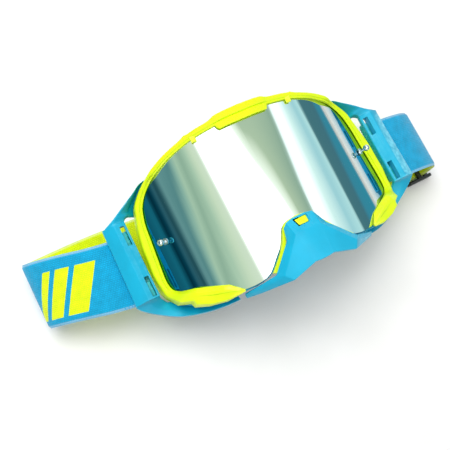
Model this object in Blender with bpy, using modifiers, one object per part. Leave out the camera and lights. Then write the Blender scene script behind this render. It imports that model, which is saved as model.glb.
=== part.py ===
"""Motocross goggles, lying face up on a table: frame, lens, foams, nose guard and strap.

Frame of the model: +X is the goggles' right side as seen from in front, +Y is towards the
brow and +Z comes out of the lens. The table is z = 0. Sizes below are in millimetres.
"""
import math

import bmesh
import bpy
from mathutils import Matrix, Vector

MM = 0.001
GAP = 0.35

# Lens: bent about Y, flatter in the middle than at its ends. Its fall from the crown is an
# even polynomial of x / LENS_HALF_WIDTH with these terms.
LENS_CROWN = 81.0
LENS_HALF_WIDTH = 80.0
LENS_FALL_SQUARE = 17.1
LENS_FALL_FOURTH = 19.0
LENS_FALL_SIXTH = -2.9
LENS_THICKNESS = 1.2

# Back of the foam, a cylinder about Y.
FACE_RADIUS = 107.0
FOAM_HALF_WIDTH = 80.0
FOAM_LOW_POINT = 2.6

# Layers, measured along Z.
SEAL_THICKNESS = 1.2
CHASSIS_WALL = 2.2
CHASSIS_FLANGE = 2.0
FRONT_FLANGE_WIDTH = 7.5
FOAM_FLANGE_WIDTH = 8.0
FOAM_BASE_THICKNESS = 3.0
FOAM_MID_THICKNESS = 9.0
FLEECE_THICKNESS = 2.5
VENT_FOAM_THICKNESS = 1.6

# Strap.
STRAP_WIDTH = 45.0
STRAP_THICKNESS = 1.8
SLIDER_STRAP_Z = 3.45
SLIDER_STRAP_Y = -5.3
SLIDER_END_X = 145.0
SLIDER_LENGTH = 20.0
SLIDER_BAR = 3.4
SLIDER_BAR_HEIGHT = 2.2
SLIDER_RAIL = 2.6

# Outrigger panel.
PANEL_INNER_X = 90.0
PANEL_RIDGE_X = 97.5
PANEL_OUTER_X = 106.0
PANEL_TOP_Y = 25.5
PANEL_BOTTOM_Y = -26.8
PANEL_THICKNESS = 3.4
SLOT_INNER_X = 91.4
SLOT_OUTER_X = 94.6
SLOT_CENTRES_Y = (16.4, -18.6)
SLOT_LENGTH = 13.4

# Tear-off posts.
POST_BASE_X = 72.8
POST_Y = 1.7
POST_REACH = 6.0
POST_HEAD_DIAMETER = 4.4
POST_SHANK_DIAMETER = 2.0
POST_HOLE_DIAMETER = 2.8

# Front frame, one row a station from the middle of the brow to the tip of the lower
# corner: inner edge x, y, outer edge x, y, height of the top, and lens overlap.
FRAME_STATIONS = (
    (0.0, 50.6, 0.0, 57.2, 84.3, 2.4),
    (9.0, 50.6, 9.0, 57.0, 84.0, 2.4),
    (16.0, 50.4, 16.6, 56.5, 83.3, 2.4),
    (20.0, 50.2, 21.4, 55.0, 82.0, 2.4),
    (30.0, 49.4, 31.5, 53.9, 80.4, 2.4),
    (38.0, 48.4, 40.0, 52.2, 78.4, 2.4),
    (51.0, 45.4, 53.4, 48.7, 73.6, 2.4),
    (60.0, 42.0, 62.6, 45.0, 69.4, 2.4),
    (64.0, 40.2, 66.4, 42.9, 67.0, 2.4),
    (68.0, 37.6, 70.8, 40.2, 61.4, 2.4),
    (72.5, 33.6, 75.8, 36.2, 57.0, 2.4),
    (76.0, 28.6, 80.4, 30.8, 53.7, 2.4),
    (77.7, 24.0, 82.4, 25.0, 52.0, 2.4),
    (79.2, 17.0, 84.6, 17.2, 50.2, 2.4),
    (80.2, 6.0, 86.8, 6.0, 49.0, 2.4),
    (81.2, -5.0, 87.6, -5.0, 48.0, 2.4),
    (82.0, -14.0, 88.2, -14.0, 47.2, 2.4),
    (82.3, -21.0, 87.6, -22.0, 46.8, 2.4),
    (81.2, -26.4, 86.6, -28.4, 48.4, 2.6),
    (78.4, -29.4, 84.2, -32.2, 52.0, 2.8),
    (75.0, -31.2, 81.8, -36.4, 58.4, 3.2),
    (71.0, -32.8, 75.3, -39.4, 64.4, 3.6),
    (69.6, -33.4, 74.4, -42.4, 65.2, 3.8),
    (61.5, -36.6, 67.2, -45.9, 68.4, 5.0),
    (53.0, -40.4, 57.4, -48.4, 73.0, 5.0),
)
SKIRT_DEPTH = 5.0
SKIRT_WALL = 1.2
SKIRT_END_X = 58.0
SKIRT_TAPER = 18.0
FRAME_TIP = (46.9, -48.0, 76.2)

# Lower edge of the lens between the corner and the middle of the nose.
LENS_LOWER_EDGE = ((45.6, -47.4), (36.0, -47.8), (29.0, -45.6), (22.6, -39.6), (16.0, -33.6),
                   (9.0, -28.8), (0.0, -26.8))

# Chassis, one row a station from the brow to the nose: front outline, rear outline.
CHASSIS_STATIONS = (
    (0.0, 55.4, 0.0, 50.0),
    (17.0, 54.2, 15.0, 49.5),
    (34.0, 51.8, 31.0, 47.5),
    (50.0, 47.6, 47.0, 43.0),
    (63.0, 42.4, 60.0, 36.0),
    (73.0, 36.0, 70.0, 27.0),
    (80.0, 27.0, 76.5, 16.0),
    (84.6, 13.0, 79.5, 4.0),
    (86.8, -1.0, 80.0, -8.0),
    (87.4, -14.0, 79.0, -18.0),
    (85.6, -26.0, 76.0, -27.0),
    (80.4, -36.6, 70.0, -35.0),
    (70.5, -43.6, 61.0, -41.0),
    (58.0, -47.8, 50.0, -44.0),
    (46.0, -48.5, 40.0, -44.4),
    (36.0, -48.7, 31.0, -41.0),
    (27.0, -46.0, 23.5, -34.5),
    (18.0, -38.0, 16.0, -26.6),
    (9.5, -31.8, 8.5, -20.6),
    (0.0, -29.6, 0.0, -18.4),
)

YELLOW = (0.85, 1.0, 0.0, 1.0)
BLUE = (0.0, 0.5, 0.72, 1.0)
TEAL = (0.0, 0.42, 0.42, 1.0)
BLACK = (0.012, 0.012, 0.014, 1.0)
GREY = (0.06, 0.06, 0.065, 1.0)
STEEL = (0.6, 0.6, 0.6, 1.0)
MIRROR = (0.55, 0.68, 0.66, 1.0)
TAN = (0.28, 0.2, 0.13, 1.0)


# ---------------------------------------------------------------- helpers

def start_empty():
    """Clear the scene and make one collection for the parts and one for the cutters."""
    for obj in list(bpy.data.objects):
        bpy.data.objects.remove(obj, do_unlink=True)
    made = []
    for name in ("motocross_goggles", "cutters"):
        collection = bpy.data.collections.new(name)
        bpy.context.scene.collection.children.link(collection)
        made.append(collection)
    return made


def material(name, colour, roughness, metallic=0.0):
    """A plain Principled material, made once for each name."""
    found = bpy.data.materials.get(name)
    if found:
        return found
    made = bpy.data.materials.new(name)
    made.use_nodes = True
    shader = made.node_tree.nodes["Principled BSDF"]
    shader.inputs["Base Color"].default_value = colour
    shader.inputs["Roughness"].default_value = roughness
    shader.inputs["Metallic"].default_value = metallic
    made.diffuse_color = colour
    return made


def point(x, y, z):
    """A place given in millimetres."""
    return Vector((x, y, z)) * MM


def add_object(name, mesh, collection, finish=None):
    obj = bpy.data.objects.new(name, mesh)
    collection.objects.link(obj)
    if finish:
        mesh.materials.clear()
        mesh.materials.append(finish)
    return obj


def mesh_from_bmesh(name, bm):
    bmesh.ops.recalc_face_normals(bm, faces=bm.faces)
    mesh = bpy.data.meshes.new(name)
    bm.to_mesh(mesh)
    bm.free()
    return mesh


def loft(name, sections, collection, finish=None, ring=False):
    """Skin a row of sections that all have the same number of points."""
    bm = bmesh.new()
    rows = [[bm.verts.new(p) for p in section] for section in sections]
    count = len(rows[0])
    pairs = list(zip(rows[:-1], rows[1:]))
    if ring:
        pairs.append((rows[-1], rows[0]))
    for first, second in pairs:
        for i in range(count):
            j = (i + 1) % count
            bm.faces.new((first[i], first[j], second[j], second[i]))
    bmesh.ops.triangulate(bm, faces=bm.faces)
    if not ring:
        bm.faces.new(rows[0])
        bm.faces.new(reversed(rows[-1]))
    return add_object(name, mesh_from_bmesh(name, bm), collection, finish)


def cylinder(name, radius, depth, place, axis, collection, finish=None, sides=20):
    """A cylinder whose middle is at place, turned along axis."""
    bm = bmesh.new()
    bmesh.ops.create_cone(bm, cap_ends=True, segments=sides, radius1=radius * MM,
                          radius2=radius * MM, depth=depth * MM)
    turn = Vector(axis).to_track_quat("Z", "Y").to_matrix().to_4x4()
    bmesh.ops.transform(bm, matrix=Matrix.Translation(place) @ turn, verts=bm.verts)
    return add_object(name, mesh_from_bmesh(name, bm), collection, finish)


def box(name, low, high, collection, finish=None):
    """A box between two corners given in millimetres."""
    bm = bmesh.new()
    bmesh.ops.create_cube(bm, size=1.0)
    size = [(b - a) * MM for a, b in zip(low, high)]
    middle = [(a + b) / 2 * MM for a, b in zip(low, high)]
    bmesh.ops.scale(bm, vec=size, verts=bm.verts)
    bmesh.ops.translate(bm, vec=middle, verts=bm.verts)
    return add_object(name, mesh_from_bmesh(name, bm), collection, finish)


def apply_boolean(obj, others, operation):
    """Join, cut or intersect obj with each of the others, which become wire guides."""
    for other in others:
        modifier = obj.modifiers.new(operation.lower(), "BOOLEAN")
        modifier.operation = operation
        modifier.object = other
        other.hide_render = True
        other.display_type = "WIRE"


# ---------------------------------------------------------------- surfaces

def drop(radius, x):
    """How far a cylinder of this radius has fallen at a distance x from its crown."""
    return radius - math.sqrt(radius * radius - x * x)


def lens_top(x):
    share = (x / LENS_HALF_WIDTH) ** 2
    fall = LENS_FALL_SQUARE + (LENS_FALL_FOURTH + LENS_FALL_SIXTH * share) * share
    return LENS_CROWN - fall * share


def lens_back(x):
    return lens_top(x) - LENS_THICKNESS


def seal_top(x):
    return lens_back(x) - GAP


def chassis_top(x):
    return seal_top(x) - SEAL_THICKNESS - GAP


def face_surface(x):
    """The curve that rests on the wearer's face, or on the strap when put down."""
    return FOAM_LOW_POINT + drop(FACE_RADIUS, FOAM_HALF_WIDTH) - drop(FACE_RADIUS, x)


def chassis_seat(x):
    layers = FLEECE_THICKNESS + FOAM_MID_THICKNESS + FOAM_BASE_THICKNESS
    return face_surface(x) + layers + 3 * GAP


# ---------------------------------------------------------------- outlines

def smooth(points, steps=3):
    """A Catmull-Rom curve through points of any size, with steps pieces a span."""
    made = []
    last = len(points) - 1
    for i in range(last):
        before = points[max(i - 1, 0)]
        a, b = points[i], points[i + 1]
        after = points[min(i + 2, last)]
        for step in range(steps):
            t = step / steps
            row = []
            for p0, p1, p2, p3 in zip(before, a, b, after):
                row.append(0.5 * (2 * p1 + (p2 - p0) * t + (2 * p0 - 5 * p1 + 4 * p2 - p3) * t ** 2
                                  + (3 * p1 - p0 - 3 * p2 + p3) * t ** 3))
            made.append(tuple(row))
    made.append(tuple(points[last]))
    return made


def mirrored_ring(half):
    """A closed outline from its half, which starts and ends at x = 0."""
    left = [(-p[0],) + tuple(p[1:]) for p in reversed(half[1:-1])]
    return list(half) + left


def inset(outline, distance):
    """Move a closed clockwise outline inwards."""
    moved = []
    count = len(outline)
    for i, (x, y) in enumerate(outline):
        before = outline[i - 1]
        after = outline[(i + 1) % count]
        along = Vector((after[0] - before[0], after[1] - before[1])).normalized()
        moved.append((x + along.y * distance, y - along.x * distance))
    return moved


def lens_outline():
    half = []
    for xi, yi, xo, yo, _top, overlap in FRAME_STATIONS:
        along = Vector((xo - xi, yo - yi)).normalized()
        half.append((xi + along.x * overlap, yi + along.y * overlap))
    half.extend(LENS_LOWER_EDGE)
    half[0] = (0.0, half[0][1])
    return mirrored_ring(smooth(half, 1))


def chassis_outlines():
    half = smooth(CHASSIS_STATIONS, 2)
    front = mirrored_ring([(row[0], row[1]) for row in half])
    rear = mirrored_ring([(row[2], row[3]) for row in half])
    return front, rear


def curved_sheet(name, outline, inner, top, thickness, collection, finish):
    """A flat ring that follows the surface top(x)."""
    sections = []
    for (xo, yo), (xi, yi) in zip(outline, inner):
        sections.append([point(xo, yo, top(xo)), point(xi, yi, top(xi)),
                         point(xi, yi, top(xi) - thickness), point(xo, yo, top(xo) - thickness)])
    return loft(name, sections, collection, finish, ring=True)


# ---------------------------------------------------------------- parts

def make_lens(parts, cutters, finish):
    """The lens: a slab bent to the lens curve, trimmed to the lens outline."""
    half_width = 90.0
    columns = 30
    sections = []
    for i in range(columns + 1):
        x = -half_width + 2 * half_width * i / columns
        sections.append([point(x, -62, lens_top(x)), point(x, 62, lens_top(x)),
                         point(x, 62, lens_back(x)), point(x, -62, lens_back(x))])
    lens = loft("lens", sections, parts, finish)
    outline = lens_outline()
    trim = loft("lens_trim", [[point(x, y, z) for x, y in outline] for z in (20, 90)], cutters)
    apply_boolean(lens, [trim], "INTERSECT")
    holes = []
    for side in (-1, 1):
        base, along = post_line(side)
        holes.append(cylinder("post_hole", POST_HOLE_DIAMETER / 2, 8, base, along, cutters))
    apply_boolean(lens, holes, "DIFFERENCE")
    return lens


def make_seal(parts, finish):
    outline = inset(lens_outline(), 0.4)
    inner = inset(lens_outline(), 3.6)
    return curved_sheet("lens_seal", outline, inner, seal_top, SEAL_THICKNESS, parts, finish)


def skirt_depth(x, y):
    """How far the brow's outer wall hangs below the lens to cover the chassis."""
    if y < 0:
        return 0.05
    return max(0.05, SKIRT_DEPTH * min(1.0, (SKIRT_END_X - x) / SKIRT_TAPER))


def frame_section(row, side):
    """Section of the front frame: a rounded bar over the lens edge with a step behind it."""
    xi, yi, xo, yo, top, overlap = row
    across = Vector((xo - xi, yo - yi))
    width = across.length
    across.normalize()
    round_off = min(1.0, width * 0.2)

    def at(distance, z):
        return point(side * (xi + across.x * distance), yi + across.y * distance, z)

    pocket = overlap + GAP
    pocket_x = xi + across.x * pocket
    under = lens_top(xi) + GAP
    foot = lens_back(pocket_x)
    foot_x = xo + across.x * 0.6
    low = lens_back(foot_x)
    skirt = low - skirt_depth(xi, yi)
    return [at(0, under), at(0, top - round_off * 0.4), at(round_off, top),
            at(width - round_off, top), at(width, top - round_off), at(width + 0.6, skirt),
            at(width + 0.6 - SKIRT_WALL, skirt), at(width + 0.5 - SKIRT_WALL, low),
            at(pocket, foot), at(pocket, lens_top(pocket_x) + GAP)]


def tip_section(side):
    """The pointed end of the lower corner, which stops just above the lens."""
    x, y, top = FRAME_TIP
    under = lens_top(x) + GAP + 0.2
    inner = (x + 0.2, y + 0.9)
    outer = (x + 0.9, y - 0.6)
    middle = (x, y)
    rows = [(inner, under), (inner, top - 0.5), (middle, top), (middle, top - 0.1),
            (outer, top - 0.6), (outer, under + 0.2), (outer, under + 0.1), (outer, under),
            (middle, under), (middle, under + 0.1)]
    return [point(side * p[0], p[1], z) for p, z in rows]


def make_front_frame(parts, cutters, finish):
    """The outer frame: brow, side rings and lower corners in one moulding."""
    rows = smooth(FRAME_STATIONS, 2)
    right = [frame_section(row, 1) for row in rows] + [tip_section(1)]
    left = [frame_section(row, -1) for row in rows[1:]] + [tip_section(-1)]
    frame = loft("front_frame", list(reversed(left)) + right, parts, finish)
    pieces = [visor_tab(cutters)]
    for side in (-1, 1):
        pieces.append(hook_tab(cutters, side))
    apply_boolean(frame, pieces, "UNION")
    return frame


def visor_tab(cutters):
    """The lip in the middle of the brow that overhangs the lens."""
    sections = []
    for x, reach in ((-18.4, 1.6), (-17.2, 3.4), (17.2, 3.4), (18.4, 1.6)):
        root = 52.4
        edge = 50.4 - reach
        sections.append([point(x, root, 84.1), point(x, edge + 0.6, 83.7), point(x, edge, 83.0),
                         point(x, edge + 0.3, 81.8), point(x, root, 81.7)])
    return loft("visor_tab", sections, cutters)


def hook_tab(cutters, side):
    """A small tooth on the brow that holds the edge of a tear-off film."""
    sections = []
    for x in (32.6, 35.6):
        sections.append([point(side * x, 51.0, 79.3), point(side * x, 46.6, 79.1),
                         point(side * x, 46.3, 78.2), point(side * x, 51.0, 78.2)])
    return loft("hook_tab", sections, cutters)


def chassis_section(front, rear, front_wall, rear_wall, front_lip, rear_lip):
    """C-shaped section: lens flange in front, wall, and foam flange at the back."""
    top = chassis_top(front[0])
    seat = chassis_seat(rear[0])
    return [point(*front_lip, chassis_top(front_lip[0])), point(*front, top),
            point(*rear, seat), point(*rear_lip, chassis_seat(rear_lip[0])),
            point(*rear_lip, chassis_seat(rear_lip[0]) + CHASSIS_FLANGE),
            point(*rear_wall, chassis_seat(rear_wall[0]) + CHASSIS_FLANGE),
            point(*front_wall, chassis_top(front_wall[0]) - CHASSIS_FLANGE),
            point(*front_lip, chassis_top(front_lip[0]) - CHASSIS_FLANGE)]


def make_rear_frame(parts, cutters, finish):
    """The chassis behind the lens, with both strap outriggers moulded on."""
    front, rear = chassis_outlines()
    rows = zip(front, rear, inset(front, CHASSIS_WALL), inset(rear, CHASSIS_WALL),
               inset(front, FRONT_FLANGE_WIDTH), inset(rear, FOAM_FLANGE_WIDTH))
    chassis = loft("rear_frame", [chassis_section(*row) for row in rows], parts, finish, ring=True)
    apply_boolean(chassis, vent_cutters(cutters), "DIFFERENCE")
    joined = []
    for side in (-1, 1):
        joined.append(outrigger_panel(cutters, side))
        joined.append(upper_arm(cutters, side))
        joined.append(lower_arm(cutters, side))
    apply_boolean(chassis, joined, "UNION")
    apply_boolean(chassis, strap_slots(cutters), "DIFFERENCE")
    return chassis


def panel_top_height(x):
    """Height of the panel: it climbs to the ridge and falls to the strap side."""
    if x <= PANEL_RIDGE_X:
        return 48.4 + (x - PANEL_INNER_X) / (PANEL_RIDGE_X - PANEL_INNER_X) * 3.6
    return 52.0 - (x - PANEL_RIDGE_X) / (PANEL_OUTER_X - PANEL_RIDGE_X) * 5.0


def outrigger_panel(cutters, side):
    sections = []
    for y in (PANEL_BOTTOM_Y, PANEL_TOP_Y):
        row = []
        for x in (PANEL_INNER_X, PANEL_RIDGE_X, PANEL_OUTER_X):
            row.append(point(side * x, y, panel_top_height(x)))
        for x in (PANEL_OUTER_X, PANEL_RIDGE_X, PANEL_INNER_X):
            row.append(point(side * x, y, panel_top_height(x) - PANEL_THICKNESS))
        sections.append(row)
    return loft("outrigger_panel", sections, cutters)


def bar_section(outer, inner, depth_outer, depth_inner, side):
    """Four corners of a flat arm: outer and inner top edges with their thickness."""
    ox, oy, oz = outer
    ix, iy, iz = inner
    return [point(side * ox, oy, oz), point(side * ix, iy, iz),
            point(side * ix, iy, iz - depth_inner), point(side * ox, oy, oz - depth_outer)]


def upper_arm(cutters, side):
    """Arm from under the frame to the panel: outer edge, lip beside the frame, foot below it."""
    rows = (((65.6, 43.1, 57.4), (64.6, 42.0, 57.3), (61.3, 37.0, 55.0), 11.0, 9.0),
            ((72.8, 41.4, 58.0), (71.8, 41.2, 54.6), (66.8, 34.8, 50.6), 11.0, 8.0),
            ((78.6, 38.0, 57.2), (77.4, 37.4, 48.4), (71.3, 31.3, 45.2), 10.0, 4.0),
            ((87.0, 33.6, 54.8), (83.4, 32.0, 45.2), (76.7, 25.7, 39.2), 10.6, 3.0),
            ((96.0, 29.0, 50.8), (87.0, 28.6, 49.0), (85.6, 27.8, 44.6), 5.2, 1.2),
            ((104.6, 24.6, 47.6), (89.4, 25.4, 48.4), (89.4, 25.2, 46.0), 3.4, 1.0))
    sections = []
    for (ox, oy, oz), (lx, ly, lz), (fx, fy, fz), depth_outer, depth_foot in rows:
        sections.append([point(side * ox, oy, oz), point(side * lx, ly, lz),
                         point(side * fx, fy, fz), point(side * fx, fy, fz - depth_foot),
                         point(side * ox, oy, oz - depth_outer)])
    return loft("upper_arm", sections, cutters)


def lower_arm(cutters, side):
    rows = (((105.6, -25.4, 47.2), (90.4, -25.4, 48.0), 3.4, 3.4),
            ((105.8, -27.4, 46.2), (90.4, -27.6, 45.6), 3.6, 4.0),
            ((97.0, -35.0, 42.0), (86.6, -32.0, 39.6), 4.0, 4.0),
            ((86.0, -41.8, 40.4), (81.6, -33.0, 39.0), 5.0, 5.0),
            ((77.6, -45.6, 43.6), (75.0, -37.0, 39.0), 6.0, 6.0),
            ((67.0, -48.8, 49.6), (65.6, -40.0, 44.0), 7.0, 7.0),
            ((57.0, -50.6, 56.4), (56.4, -43.6, 51.0), 8.0, 8.0),
            ((48.6, -51.2, 61.8), (48.2, -45.4, 56.0), 8.0, 8.0))
    sections = [bar_section(*row, side) for row in rows]
    return loft("lower_arm", sections, cutters)


def strap_slots(cutters):
    """Two windows in each outrigger panel that take the lugs of the strap clip."""
    made = []
    for side in (-1, 1):
        for y in SLOT_CENTRES_Y:
            xs = sorted((side * SLOT_INNER_X, side * SLOT_OUTER_X))
            made.append(box("strap_slot", (xs[0], y - SLOT_LENGTH / 2, 40),
                            (xs[1], y + SLOT_LENGTH / 2, 56), cutters))
    return made


def vent_cutters(cutters):
    """Vent windows through the chassis wall: over the brow, at the sides and at the cheeks."""
    made = []
    for x, height in ((-36, 57), (-13, 62), (13, 62), (36, 57)):
        made.append(box("brow_vent", (x - 8, 42, height - 3), (x + 8, 62, height + 3), cutters))
    for side in (-1, 1):
        xs = sorted((side * 77.2, side * 92.0))
        made.append(box("side_vent", (xs[0], -14.3, 27.6), (xs[1], 5.3, 33.4), cutters))
        xs = sorted((side * 42.0, side * 56.0))
        made.append(box("cheek_vent", (xs[0], -60, 46), (xs[1], -40, 52), cutters))
    return made


def make_foams(parts, finish_base, finish_mid, finish_fleece):
    """Three layers of face foam that follow the back of the chassis."""
    _front, rear = chassis_outlines()
    layers = (("foam_base", FOAM_BASE_THICKNESS, 0.4, 8.0, finish_base),
              ("foam_comfort", FOAM_MID_THICKNESS, 0.0, 9.0, finish_mid),
              ("foam_fleece", FLEECE_THICKNESS, 0.3, 9.6, finish_fleece))
    start = 0.0
    for name, thickness, outer_inset, inner_inset, finish in layers:
        start += GAP

        def top(x, start=start):
            return chassis_seat(x) - start

        curved_sheet(name, inset(rear, outer_inset), inset(rear, inner_inset), top, thickness,
                     parts, finish)
        start += thickness


def wall_strip(name, first, last, low, high, parts, finish):
    """A strip of filter foam on the inside of the chassis wall, over some of its stations."""
    front, rear = chassis_outlines()
    near = [inset(front, CHASSIS_WALL + GAP), inset(rear, CHASSIS_WALL + GAP)]
    far = [inset(front, CHASSIS_WALL + GAP + VENT_FOAM_THICKNESS),
           inset(rear, CHASSIS_WALL + GAP + VENT_FOAM_THICKNESS)]
    sections = []
    for i in range(first, last + 1):
        row = []
        for (fronts, rears), share in ((near, low), (near, high), (far, high), (far, low)):
            f, r = fronts[i], rears[i]
            top = chassis_top(f[0]) - CHASSIS_FLANGE
            bottom = chassis_seat(r[0]) + CHASSIS_FLANGE
            row.append(point(r[0] + (f[0] - r[0]) * share, r[1] + (f[1] - r[1]) * share,
                             bottom + (top - bottom) * share))
        sections.append(row)
    return loft(name, sections, parts, finish)


def make_vent_foams(parts, finish):
    spans = {"brow_vent_foam": (-6, 6), "side_vent_foam_right": (13, 18),
             "cheek_vent_foam_right": (24, 28), "cheek_vent_foam_left": (-28, -24),
             "side_vent_foam_left": (-18, -13)}
    for name, (first, last) in spans.items():
        wall_strip(name, first, last, 0.12, 0.88, parts, finish)


def post_line(side):
    """Foot of a tear-off post on the lens, and the way it stands."""
    base = point(side * POST_BASE_X, POST_Y, lens_top(POST_BASE_X))
    slope = lens_top(POST_BASE_X - 0.5) - lens_top(POST_BASE_X + 0.5)
    return base, Vector((side * slope, 0, 1)).normalized()


def make_posts(parts, cutters, finish_post, finish_clip):
    """A headed pin through each end of the lens, and the washer that holds it behind."""
    for side, name in ((-1, "left"), (1, "right")):
        base, along = post_line(side)
        shank = cylinder("tear_off_post_" + name, POST_SHANK_DIAMETER / 2, POST_REACH + 4.0,
                         base + along * (POST_REACH - 4.6) / 2 * MM, along, parts, finish_post, 16)
        bm = bmesh.new()
        bmesh.ops.create_uvsphere(bm, u_segments=16, v_segments=10,
                                  radius=POST_HEAD_DIAMETER / 2 * MM)
        bmesh.ops.translate(bm, vec=base + along * POST_REACH * MM, verts=bm.verts)
        head = add_object("post_head", mesh_from_bmesh("post_head", bm), cutters)
        collar = cylinder("post_collar", 2.3, 1.2, base + along * 1.0 * MM, along, cutters)
        apply_boolean(shank, [head, collar], "UNION")
        washer = cylinder("post_washer_" + name, 3.0, 1.0,
                          base - along * (LENS_THICKNESS + 1.0) * MM, along, parts, finish_clip)
        bore = cylinder("washer_bore", POST_SHANK_DIAMETER / 2 + 0.35, 4,
                        base - along * (LENS_THICKNESS + 1.0) * MM, along, cutters)
        apply_boolean(washer, [bore], "DIFFERENCE")


# Nose guard: half of its faceted skin, x >= 0, as named corners.
GUARD = {
    "top_mid": (0.0, -22.0, 86.8), "top_in": (4.6, -22.1, 86.8), "top_out": (9.2, -23.2, 87.4),
    "edge_top": (11.4, -25.6, 85.0),
    "brow_mid": (0.0, -32.2, 92.2), "brow_in": (4.4, -32.2, 92.1), "brow_out": (8.7, -32.7, 91.4),
    "edge_mid": (14.2, -33.4, 87.6),
    "chin_mid": (0.0, -52.2, 95.2), "chin_in": (3.2, -52.1, 95.2), "chin_out": (6.4, -51.7, 94.9),
    "wing_low": (21.8, -55.9, 90.8), "wing_crease": (25.5, -51.2, 89.2),
    "edge_low": (28.8, -48.4, 85.4),
    "tail_low": (37.4, -54.0, 73.4), "tail_mid": (38.6, -51.8, 74.8), "tail_in": (39.2, -49.6, 76.0),
    "tip_low": (46.0, -52.6, 66.6), "tip_mid": (46.6, -51.4, 67.4), "tip_in": (46.8, -50.0, 68.4),
}
GUARD_FACES = (
    ("top_mid", "top_in", "brow_in", "brow_mid"), ("top_in", "top_out", "brow_out", "brow_in"),
    ("top_out", "edge_top", "edge_mid", "brow_out"),
    ("brow_mid", "brow_in", "chin_in", "chin_mid"), ("brow_in", "brow_out", "chin_out", "chin_in"),
    ("brow_out", "wing_crease", "wing_low", "chin_out"),
    ("brow_out", "edge_mid", "edge_low", "wing_crease"),
    ("wing_low", "wing_crease", "tail_mid", "tail_low"),
    ("wing_crease", "edge_low", "tail_in", "tail_mid"),
    ("tail_low", "tail_mid", "tip_mid", "tip_low"), ("tail_mid", "tail_in", "tip_in", "tip_mid"),
)


# Rim of the yellow frame inside the nose guard, from the wing to the middle: x, y, top.
LINER_STATIONS = ((28.6, -46.4, 82.8), (20.0, -38.2, 84.6), (14.6, -31.2, 84.8),
                  (11.2, -25.6, 82.6), (7.6, -22.2, 83.4), (0.0, -21.2, 83.6))
LINER_WALL = 1.4


def guard_skin(name, faces, move, thickness, parts, finish):
    """Mirror half of the faceted skin and give it thickness on its inner side."""
    bm = bmesh.new()
    used = sorted({corner for face in faces for corner in face})
    verts = {}
    for side in (1, -1):
        for corner in used:
            x, y, z = move(*GUARD[corner])
            if x < 0.01 and side == -1:
                verts[(corner, side)] = verts[(corner, 1)]
            else:
                verts[(corner, side)] = bm.verts.new(point(side * x, y, z))
    for side in (1, -1):
        for face in faces:
            ring = [verts[(corner, side)] for corner in face]
            bm.faces.new(ring if side == 1 else reversed(ring))
    bmesh.ops.recalc_face_normals(bm, faces=bm.faces)
    mesh = bpy.data.meshes.new(name)
    bm.to_mesh(mesh)
    bm.free()
    if mesh.polygons[0].normal.z < 0:
        mesh.flip_normals()
    obj = add_object(name, mesh, parts, finish)
    solidify = obj.modifiers.new("thickness", "SOLIDIFY")
    solidify.thickness = thickness * MM
    solidify.offset = -1.0
    solidify.use_even_offset = False
    return obj


def make_nose_guard(parts, cutters, finish, finish_liner):
    guard = guard_skin("nose_guard", GUARD_FACES, lambda x, y, z: (x, y, z), 1.8, parts, finish)
    window = [(-4.4, -23.6), (4.4, -23.6), (3.6, -28.6), (-3.6, -28.6)]
    cutter = loft("badge_window", [[point(x, y, z) for x, y in window] for z in (80, 100)], cutters)
    apply_boolean(guard, [cutter], "DIFFERENCE")
    badge = guard_skin("nose_guard_badge", GUARD_FACES[:1], lambda x, y, z: (x, y, z), 1.6,
                       parts, finish_liner)
    inner = [(-4.1, -23.9), (4.1, -23.9), (3.35, -28.3), (-3.35, -28.3)]
    trim = loft("badge_trim", [[point(x, y, z) for x, y in inner] for z in (80, 100)], cutters)
    apply_boolean(badge, [trim], "INTERSECT")
    liner_rows = []
    half = smooth(LINER_STATIONS, 2)
    whole = half + [(-x, y, top) for x, y, top in reversed(half[:-1])]
    rows = []
    for x, y, top in whole:
        low = lens_top(x) + 2 * GAP
        rows.append([point(x, y, low), point(x, y, top), point(x * 0.9, y - LINER_WALL, top),
                     point(x * 0.9, y - LINER_WALL, low)])
    loft("nose_liner", rows, parts, finish_liner)


# ---------------------------------------------------------------- strap

STRAP_LONG_ROUTE = (
    (-98.8, 42.2, -3.5), (-106.0, 41.8, -3.2), (-120.0, 39.6, -0.6), (-136.0, 35.0, 3.6),
    (-149.0, 28.6, 7.2), (-156.4, 21.6, 9.4), (-157.6, 15.4, 10.6), (-153.0, 9.8, 11.8),
    (-142.0, 6.0, 12.8), (-124.0, 3.2, 13.5), (-104.0, 1.5, 13.3), (-88.0, 0.9, 12.5),
    (-70.0, 0.9, 11.3), (-50.0, 0.9, 9.4), (-10.0, 0.9, 4.2), (30.0, 0.9, -0.6),
    (60.0, 0.9, -3.4), (78.0, 0.9, -4.4), (85.0, 1.1, -4.8), (91.0, 2.3, -5.0),
    (97.0, SLIDER_STRAP_Z, -5.2), (103.0, SLIDER_STRAP_Z, -5.3), (134.6, SLIDER_STRAP_Z, -5.3),
)
STRAP_SHORT_ROUTE = (
    (135.1, SLIDER_STRAP_Z, -5.3), (137.6, SLIDER_STRAP_Z + 0.2, -5.2), (140.8, 6.8, -5.0),
    (142.0, 13.4, -4.7), (140.4, 21.6, -4.4), (135.4, 29.6, -4.1), (126.0, 36.0, -3.8),
    (115.0, 39.8, -3.5), (106.0, 41.6, -3.3), (98.8, 42.2, -3.2),
)


def ribbon(name, route, parts, finish, steps=2):
    """A flat strap of constant width along a route of x, z and the middle's y."""
    rows = smooth(route, steps)
    sections = []
    for i, (x, z, y) in enumerate(rows):
        before = rows[max(i - 1, 0)]
        after = rows[min(i + 1, len(rows) - 1)]
        along = Vector((after[0] - before[0], after[1] - before[1])).normalized()
        normal = (-along.y * STRAP_THICKNESS / 2, along.x * STRAP_THICKNESS / 2)
        half = STRAP_WIDTH / 2
        sections.append([point(x + normal[0], y - half, z + normal[1]),
                         point(x + normal[0], y + half, z + normal[1]),
                         point(x - normal[0], y + half, z - normal[1]),
                         point(x - normal[0], y - half, z - normal[1])])
    return loft(name, sections, parts, finish)


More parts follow.
